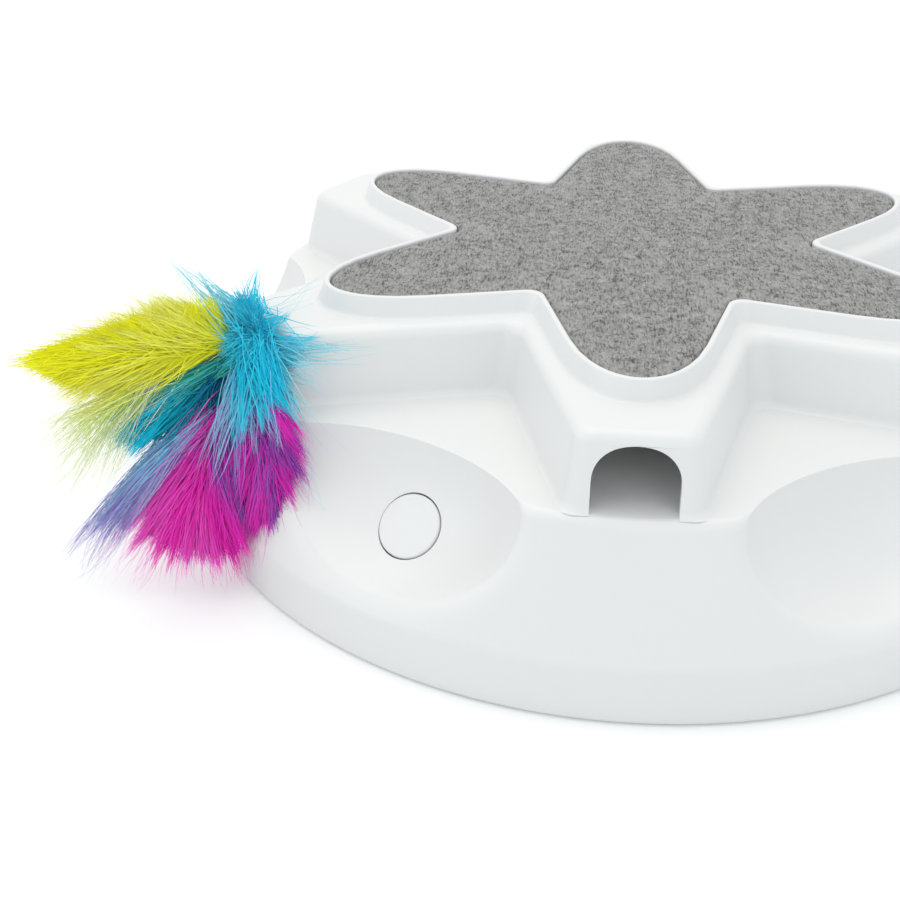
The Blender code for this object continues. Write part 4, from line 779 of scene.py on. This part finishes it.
def jitter(chance, amount):
    return Vector((chance.gauss(0, 1), chance.gauss(0, 1), chance.gauss(0, 1))) * amount


def inMetres(row):
    return Vector([value / 1000 for value in row])


def shareOf(table, share):
    # a place in a table of rows, from 0 at its first row to 1 at its last
    spot = min(max(share, 0), 1) * (len(table) - 1)
    low = min(int(spot), len(table) - 2)
    return Vector(table[low]).lerp(Vector(table[low + 1]), spot - low)


def clearOfHousing(point):
    # move a barb's point out of the arm's end, the skirt and the floor
    along, side, up = point
    height = min(max(wandHeight + up, lure["floorGap"]), lure["ceiling"])
    out = math.hypot(along, side)
    if height < shell["deck"] and abs(math.atan2(side, along)) < lure["dishTurn"]:
        grow = max(1.0, (skirtRadius(height) + lure["skirtGap"]) / out)
        along, side = along * grow, side * grow
    elif shell["deck"] <= height < lure["ledge"] and along < lure["wallOut"]:
        wall = sideAt(along, star["wallFoot"]) + lure["wallGap"]
        if abs(side) < wall:
            if wall - abs(side) < lure["wallOut"] - along:
                side = math.copysign(wall, side)
            else:
                along = lure["wallOut"]
    return Vector((along, side, height - wandHeight))


def dyePair(words):
    # the dye at a barb's root and at its tip; one word stands for both
    return (words.split() * 2)[:2]


def toned(chance, name, amount, shift):
    lift = 1 + shift + chance.gauss(0, amount)
    return tuple(min(c * lift, 1.0) for c in dyes[name])


def growBarb(mesh, chance, line, facing, width, pair, tone=0.03, shift=0.0):
    # a soft barb: a ribbon on a bent line, narrowing to its tip
    start, middle, end = line
    rootDye, tipDye = [toned(chance, name, tone, shift) for name in pair]
    steps = lure["steps"]
    wave = jitter(chance, (end - start).length * lure["wave"])
    swing = chance.uniform(*lure["swing"])
    base = len(mesh["points"])
    for step in range(steps + 1):
        t = step / steps
        point = start * (1 - t) ** 2 + middle * 2 * t * (1 - t) + end * t * t + wave * math.sin(t * swing)
        point = clearOfHousing(point)
        dye = tuple(a + (b - a) * t for a, b in zip(rootDye, tipDye))
        if step == steps:
            mesh["points"].append(point)
            mesh["dyes"].append(dye)
            break
        along = ((middle - start) * (1 - t) + (end - middle) * t).normalized()
        half = along.cross(facing).normalized() * width * (1 - lure["narrow"] * t * t) / 2
        mesh["points"] += [point + half, point - half]
        mesh["dyes"] += [dye, dye]
    for step in range(steps - 1):
        a = base + step * 2
        mesh["faces"].append((a, a + 1, a + 3, a + 2))
    last = base + (steps - 1) * 2
    mesh["faces"].append((last, last + 1, last + 2))


def growFan(mesh, chance, look):
    # barbs from a quill to the fan's edge: locks that come to a point, filled in between, and wisps
    quill = [inMetres(look["root"]), inMetres(look["tip"])]
    edges = [(*(v / 1000 for v in row[:3]), row[3]) for row in look["edge"]]
    thick, widest = look["thick"] / 1000, look["width"] / 1000
    flat, facing = Vector(look["flat"]).normalized(), Vector(look["facing"]).normalized()
    bow = Vector(look["bow"])
    pairs = [dyePair(pair) for pair in look["dyes"].split(", ")]
    count = len(pairs) - 1
    for lock in range(look["locks"] + look["fill"] + look["wisps"]):
        filling = look["locks"] <= lock < look["locks"] + look["fill"]
        loose = lock >= look["locks"] + look["fill"]
        place = (lock + chance.random()) / look["locks"] if lock < look["locks"] else chance.random()
        edge = shareOf(edges, place)
        rootShare = min(max(edge.w + chance.gauss(0, lure["rootSpread"]), 0), 1)
        start = quill[0].lerp(quill[1], rootShare)
        target = Vector(edge.xyz)
        if filling:
            ahead = quill[0].lerp(quill[1], rootShare + 0.35)
            target = ahead.lerp(target, chance.random() ** 0.6 * 0.87)
        reach = 1.0
        if not filling:
            reach = chance.uniform(*((lure["strayFrom"], look["stray"]) if loose else lure["lockReach"]))
        lift = chance.gauss(0, 0.5)
        sway = flat * thick * lift
        tip = start.lerp(target, reach) + sway * (1.0 if filling else 0.7) + jitter(chance, lure["tipJitter"])
        rootDye, tipDye = pairs[min(int(place * count + chance.random()), count)]
        if chance.random() < look["streaks"]:
            rootDye = look["streak"]
        lockTone = chance.gauss(0, lure["lockTone"])
        for barb in range(look["perLock"] if not filling and not loose else 1):
            share = min(max(rootShare + chance.gauss(0, lure["barbSpread"]), 0), 1)
            root = quill[0].lerp(quill[1], share) + jitter(chance, lure["rootJitter"]) + sway * 0.4
            end = tip
            if not filling and not loose:
                end = root.lerp(tip, 1 - chance.random() ** 1.5 * 0.4) + jitter(chance, lure["endJitter"])
            run = end - root
            side = flat * math.copysign(0.06, lift) * look["puff"]
            bend = 0.09 if loose else 0.03
            middle = root + run * 0.5 + (bow + side) * run.length + jitter(chance, run.length * bend)
            width = widest * (0.55 if loose else 1.15 if filling else 1.0) * chance.uniform(0.75, 1.25)
            growBarb(mesh, chance, (root, middle, end), (facing + jitter(chance, 0.12)).normalized(), width,
                     (rootDye, tipDye), lure["barbTone"], lockTone)


def growKnot(mesh, chance, look):
    # the bound hackle: a soft ball of short barbs that fall outwards, and pointed locks to chosen places
    knot, girth = inMetres(look["knot"]), inMetres(look["girth"])
    longest, widest = look["length"] / 1000, look["width"] / 1000
    for barb in range(look["barbs"]):
        away = jitter(chance, 1).normalized()
        away.x = abs(away.x) * 0.9 - 0.15
        root = knot + away * girth * chance.uniform(0.35, 0.95)
        fall = Vector((0.25, 0, -0.6 if away.z < 0.7 else 0.25))
        heading = (away * 0.9 + fall + jitter(chance, 0.28)).normalized()
        length = longest * chance.uniform(0.6, 1.15)
        end = root + heading * length
        middle = root + (away * 0.5 + heading).normalized() * length * 0.55
        dark = chance.random() < look["dark"]
        growBarb(mesh, chance, (root, middle, end), (away + jitter(chance, 0.25)).normalized(),
                 widest * chance.uniform(0.8, 1.3), ("teal", "aqua") if dark else ("aqua", "sky"))
    for along, side, up, count, pair in look["locks"]:
        tip = inMetres((along, side, up))
        thin = count <= lure["thinLock"]
        facing = Vector(look["bow"]).normalized()
        for barb in range(count):
            start = knot + jitter(chance, 0.5) * girth + (tip - knot) * 0.08
            end = start.lerp(tip, 1 - chance.random() ** 1.6 * 0.45)
            end += jitter(chance, 0.0016 if thin else 0.0007)
            run = end - start
            middle = start + run * 0.45 + Vector(look["bow"]) * run.length + jitter(chance, run.length * 0.05)
            growBarb(mesh, chance, (start, middle, end), (facing + jitter(chance, 0.2)).normalized(),
                     widest * (0.5 if thin else 1.0) * chance.uniform(0.7, 1.2), dyePair(pair))


def featherPiece(name, mesh):
    data = bpy.data.meshes.new(name)
    data.from_pydata([tuple(wandFrame @ p) for p in mesh["points"]], [], mesh["faces"])
    layer = data.color_attributes.new("dye", "FLOAT_COLOR", "POINT")
    layer.data.foreach_set("color", [c for dye in mesh["dyes"] for c in (*dye, 1.0)])
    return addObject(name, data)


# Dyed down: each barb carries its own dye, and the down is a little uneven
down = {"sheen": 0.35, "sheenRough": 0.6, "sheenWhite": 0.4, "patchScale": 420, "dullScale": 900}


def dyedMaterial(name, colour):
    material, tree, shader = newMaterial(name, 0.7, specular=0.1, sheen=down["sheen"], colour=colour)
    shader.inputs["Sheen Roughness"].default_value = down["sheenRough"]
    tint = [down["sheenWhite"] + (1 - down["sheenWhite"]) * c for c in colour]
    shader.inputs["Sheen Tint"].default_value = (*tint, 1)
    reader = attributeNode(tree, "dye")
    place = placeNode(tree)
    patches = greyNode(tree, rangeNode(tree, noiseNode(tree, place, down["patchScale"]), 0.3, 0.7, 0.88, 1.0))
    dyed = blendNode(tree, 1.0, reader.outputs["Color"], patches, "MULTIPLY")
    tree.links.new(dyed, shader.inputs["Base Color"])
    rough = rangeNode(tree, noiseNode(tree, place, down["dullScale"]), 0.3, 0.7, 0.6, 0.8)
    tree.links.new(rough, shader.inputs["Roughness"])
    return material


# Lengths of the fans and of the knot are in millimetres; an edge row ends with its share of the quill
fans = {
    "yellow": {
        "root": (137.6, 2, 8.6), "tip": (193, 0, 11.6), "flat": (0.05, 1.0, -0.1),
        "facing": (0.1, 0.85, 0.5), "thick": 5.5, "puff": 1.0, "bow": (0, 0, 0), "locks": 60, "perLock": 50,
        "fill": 5200, "wisps": 240, "stray": 1.32, "width": 0.26, "streak": "lime", "streaks": 0.03,
        "edge": [
            (140.5, 0, 19.5, 0), (147.8, 0, 23.4, 0.05), (160, 0, 26.2, 0.14), (172.9, 0, 21, 0.3),
            (184, 0, 16.4, 0.5), (190.8, 0, 12, 0.72), (189.8, 2, 6, 0.62), (188.5, 2, 1.2, 0.5),
            (180.8, 2, -2.7, 0.32), (168.4, 2, -3.6, 0.18), (153.1, 1, -1.7, 0.06),
        ],
        "dyes": "yellow, yellow lemon, yellow, yellow, yellow lemon, yellow",
    },
    "straw": {
        "root": (150, 4, 3), "tip": (180, 6, -3), "flat": (0.05, 1.0, 0.1), "facing": (0.1, 0.85, 0.5),
        "thick": 6, "puff": 1.0, "bow": (0.05, 0, 0.04), "locks": 30, "perLock": 5, "fill": 90,
        "wisps": 110, "stray": 1.25, "width": 0.17, "streak": "teal", "streaks": 0.08,
        "edge": [
            (194.7, 6, -5, 0.8), (196.5, 9, -13, 0.7), (195, 11, -21, 0.6), (190, 12, -27, 0.5),
            (183, 12, -28, 0.4), (174, 10, -22, 0.2),
        ],
        "dyes": "lemon straw, lime straw, straw, lime straw",
    },
    "teal": {
        "root": (137, 5, 5.5), "tip": (168, 6, -14), "flat": (0.2, 1.0, 0.1), "facing": (0.2, 0.85, 0.5),
        "thick": 6, "puff": 1.0, "bow": (0, 0, 0.02), "locks": 40, "perLock": 34, "fill": 2200, "wisps": 70,
        "stray": 1.3, "width": 0.26, "streak": "navy", "streaks": 0.1,
        "edge": [
            (156, 4, 3, 0), (165, 4, -3, 0.1), (173, 5, -9, 0.3), (177, 6, -15, 0.6), (171.5, 7, -19, 0.6),
            (162.3, 8, -19.5, 0.45), (153, 9, -18, 0.2), (146.5, 9, -15, 0.05), (142, 9, -11, 0),
        ],
        "dyes": "green, teal green, aqua mist, teal aqua, teal aqua, teal, navy teal, navy, navy teal",
    },
    "lilac": {
        "root": (144, 9, -6), "tip": (164, 11, -23), "flat": (0.3, 1.0, 0.2), "facing": (0.2, 0.85, 0.5),
        "thick": 6, "puff": 1.0, "bow": (0.03, 0, 0.05), "locks": 30, "perLock": 16, "fill": 520,
        "wisps": 110, "stray": 1.25, "width": 0.2, "streak": "mist", "streaks": 0.12,
        "edge": [
            (173, 9, -22, 0.3), (178.5, 10, -33.8, 0.5), (186, 11, -40, 0.6), (192.5, 13, -44, 0.7),
            (185, 15, -50, 0.6), (174, 14, -40, 0.4),
        ],
        "dyes": "aqua lilac, sky lilac, lilac violet, lilac",
    },
    "magenta": {
        "root": (139.2, 6.2, -5.6), "tip": (153.2, 17.2, -35.6), "flat": (0.62, 0.62, 0.42),
        "facing": (0.5, 0.65, 0.6), "thick": 7, "puff": 1.2, "bow": (0.05, 0.06, 0.06), "locks": 46,
        "perLock": 76, "fill": 5000, "wisps": 260, "stray": 1.32, "width": 0.27, "streak": "wine",
        "streaks": 0.05,
        "edge": [
            (158.7, 9.2, -17.6, 0.05), (168.5, 11.2, -29.2, 0.25), (178.7, 13.2, -45.6, 0.45),
            (170.8, 17.2, -52.6, 0.6), (162.5, 20.2, -55.1, 0.7), (154.3, 23.2, -57.1, 0.7),
            (146.3, 25.2, -57.6, 0.6), (143.5, 28.2, -45.6, 0.4), (143.7, 27.2, -31.6, 0.2),
        ],
        "dyes": (
            "magenta lilac, magenta violet, magenta pink, magenta pink, magenta, magenta pink, magenta pink, "
            "magenta, purple magenta, purple violet"
        ),
    },
    "purple": {
        "root": (131.7, 17.6, 1.4), "tip": (135.2, 30.6, -27.6), "flat": (0.5, 0.75, 0.35),
        "facing": (0.4, 0.75, 0.5), "thick": 5, "puff": 1.0, "bow": (0.05, 0.04, 0.03), "locks": 44,
        "perLock": 34, "fill": 2200, "wisps": 200, "stray": 1.35, "width": 0.26, "streak": "wine",
        "streaks": 0.06,
        "edge": [
            (147.2, 19.6, -22.6, 0.15), (146, 23.6, -33.6, 0.4), (143.1, 26.6, -42.6, 0.6),
            (139.1, 29.6, -46.6, 0.7), (134.5, 32.6, -46.5, 0.7), (131.4, 35.6, -42.6, 0.6),
            (129, 38.6, -29.5, 0.45), (128.2, 39.1, -17.5, 0.25), (128.2, 37.6, -8.2, 0.05),
        ],
        "dyes": (
            "purple magenta, purple magenta, violet magenta, purple magenta, violet purple, purple magenta, "
            "violet purple, purple magenta"
        ),
    },
}
headLook = {
    "seed": 10, "knot": (130.8, 5.6, 7.6), "girth": (4.5, 9.5, 8.5), "barbs": 6500, "length": 10.5,
    "width": 0.3, "dark": 0.08, "bow": (0.1, 0.2, 0.1), "fold": (0, 0.45, -0.893),
    "locks": [
        (150, -18, 30.5, 26, "aqua mist"), (142.7, -12, 27.5, 30, "aqua mist"),
        (138.9, -5, 23.9, 34, "aqua mist"), (125.8, -4, 27.7, 30, "aqua sky"),
        (129.3, 4, 24.2, 60, "aqua sky"), (120.2, 8, 16.2, 60, "aqua sky"),
        (104.6, -4, 21.9, 8, "sky mist"), (114.5, 16, 14, 34, "aqua sky"), (120, 20, 10, 50, "aqua sky"),
        (135, -4, 18, 50, "aqua mist"), (121, 12, 12, 90, "aqua sky"), (123, 17, 6, 90, "aqua sky"),
        (160, -10, 25.5, 8, "sky mist"), (141.3, -8, 21.5, 30, "aqua mist"),
        (96.4, 32, 11.4, 7, "sky mist"), (101.6, 33, 8, 8, "sky mist"), (110, 31, 12, 14, "aqua mist"),
        (119.1, 34, 2.3, 16, "aqua mist"), (124.5, 38, -1.1, 14, "sky mist"),
        (118.8, 34, 8.6, 14, "aqua mist"), (125.6, 42, -11.9, 7, "sky mist"),
        (112.8, 46, -21.2, 3, "sky mist"), (124.2, 46, -37.2, 6, "sky mist"),
        (127.2, 45, -23.3, 6, "sky mist"), (128.9, 38.4, -4.8, 50, "aqua sky"),
        (131.7, 36.4, -0.3, 70, "aqua"), (134.7, 35.4, -5, 60, "aqua"), (137.6, 32.4, -7.5, 70, "aqua sky"),
        (139.9, 30.4, -17.3, 40, "aqua lilac"), (143.5, 28.4, -11.6, 50, "aqua sky"),
        (145.4, 26.4, -14.7, 44, "aqua sky"), (150.1, 22.4, -13.2, 30, "aqua lilac"),
        (155.6, 22.4, -23.9, 14, "sky lilac"), (152.9, 26.4, -24.1, 16, "sky lilac"),
        (146.6, 32.4, -27.4, 18, "sky violet"), (134.5, 38.4, -11.8, 40, "aqua lilac"),
        (130.1, 32.4, 3.5, 90, "aqua"), (136.1, 28.4, 2.5, 90, "aqua"), (141.1, 22.4, -0.5, 90, "aqua"),
        (144, 14, -4, 60, "teal"), (134.1, 32.4, -0.5, 90, "aqua"), (146, 12, 2, 60, "teal green"),
    ],
}
plumes = {
    "plumeYellow": {
        "fans": ["yellow", "straw"], "fold": (0, 0, 1), "node": "plume_yellow", "slot": "feather_yellow",
        "colour": "yellow", "seed": 11,
    },
    "plumeTurquoise": {
        "fans": ["teal", "lilac"], "fold": (0, 0.25, -0.97), "node": "plume_turquoise",
        "slot": "feather_turquoise", "colour": "teal", "seed": 12,
    },
    "plumeMagenta": {
        "fans": ["magenta", "purple"], "fold": (0, 0.45, -0.89), "node": "plume_magenta",
        "slot": "feather_magenta", "colour": "magenta", "seed": 13,
    },
}


def makePlume(name, mesh, dyeName, colour, node):
    piece = featherPiece(name, mesh)
    finishPiece(piece, dyedMaterial(dyeName, dyes[colour]), "wand", [node])
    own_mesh(piece)


def makeLure():
    head = {"points": [], "faces": [], "dyes": []}
    growKnot(head, random.Random(headLook["seed"]), headLook)
    makePlume("featherHead", head, "dyedHead", "aqua", "feather_tuft")
    for name, look in plumes.items():
        mesh = {"points": [], "faces": [], "dyes": []}
        chance = random.Random(look["seed"])
        for fan in look["fans"]:
            growFan(mesh, chance, fans[fan])
        makePlume(name, mesh, "dyed" + name, look["colour"], look["node"])


makeLure()


# Floor, light and camera
studio = {
    "floorSize": 6, "floorColour": (0.9, 0.905, 0.905), "floorGlow": 0.16,
    "softColour": (0.93, 0.966, 1.0), "softStrength": 0.82,
}


def mixByRay(tree, rays, plain, seen, output):
    # the second shader is shown where these rays arrive
    mixer = newNode(tree, "MixShader", {0: rays, 1: plain.outputs[0], 2: seen.outputs[0]})
    tree.links.new(mixer.outputs[0], tree.nodes[output].inputs["Surface"])


def makeStage():
    deselectAll()
    bpy.ops.mesh.primitive_plane_add(size=studio["floorSize"])
    floor = bpy.context.object
    floor.name = "paleFloor"
    material, tree, shader = newMaterial("paleFloor", 0.7, specular=0.2, colour=studio["floorColour"])
    glow = newNode(tree, "Emission", {"Strength": studio["floorGlow"]})
    path = newNode(tree, "LightPath", {})
    adder = newNode(tree, "AddShader", {0: shader.outputs[0], 1: glow.outputs[0]})
    mixByRay(tree, path.outputs["Is Camera Ray"], shader, adder, "Material Output")
    floor.data.materials.append(material)


lamps = {
    "topSoftbox": {
        "place": (-0.15, 0.25, 1.5), "aim": (0, 0, 0.03), "size": 1.6, "power": 8.4,
        "colour": (1.0, 0.955, 0.85),
    },
    "leftSoftbox": {
        "place": (-1.3, -0.5, 0.7), "aim": (0, 0, 0.04), "size": 1.0, "power": 2.0,
        "colour": (0.97, 0.985, 1.0),
    },
    "frontFill": {
        "place": (0.7, -1.5, 0.8), "aim": (0, 0, 0.04), "size": 1.2, "power": 2.2,
        "colour": (0.94, 0.975, 1.0),
    },
}


def makeLamps():
    for name, look in lamps.items():
        data = bpy.data.lights.new(name, "AREA")
        data.energy = look["power"]
        data.size = look["size"]
        data.color = look["colour"]
        lamp = addObject(name, data)
        lamp.location = look["place"]
        sight = Vector(look["aim"]) - Vector(look["place"])
        lamp.rotation_euler = sight.to_track_quat("-Z", "Y").to_euler()
    world = bpy.data.worlds.new("studioWorld")
    world.use_nodes = True
    bpy.context.scene.world = world
    tree = world.node_tree
    soft = tree.nodes["Background"]
    soft.inputs["Color"].default_value = (*studio["softColour"], 1)
    soft.inputs["Strength"].default_value = studio["softStrength"]
    white = newNode(tree, "Background", {"Color": (1, 1, 1), "Strength": 1.0})
    path = newNode(tree, "LightPath", {})
    rays = mathNode(tree, "ADD", path.outputs["Is Camera Ray"], path.outputs["Is Glossy Ray"], True)
    mixByRay(tree, rays, soft, white, "World Output")


view = {
    "lens": 54.18, "sensor": 36, "near": 0.01, "place": (-0.0191, -0.4239, 0.2406),
    "back": (0.0825, -0.865, 0.495), "right": (0.9955, 0.095, 0), "roll": 0.45,
}


def makeCamera():
    data = bpy.data.cameras.new("photoCamera")
    data.lens = view["lens"]
    data.sensor_width = view["sensor"]
    data.clip_start = view["near"]
    camera = addObject("photoCamera", data)
    back = Vector(view["back"]).normalized()
    right = Vector(view["right"]).normalized()
    right = (right - back * right.dot(back)).normalized()
    up = back.cross(right)
    turned = Matrix((right, up, back)).transposed().to_4x4()
    roll = Matrix.Rotation(math.radians(view["roll"]), 4, "Z")
    camera.matrix_world = Matrix.Translation(view["place"]) @ (turned @ roll)
    bpy.context.scene.camera = camera


makeStage()
makeLamps()
makeCamera()
bpy.context.scene.view_settings.view_transform = "Standard"
deselectAll()
print("stage, light and camera made")
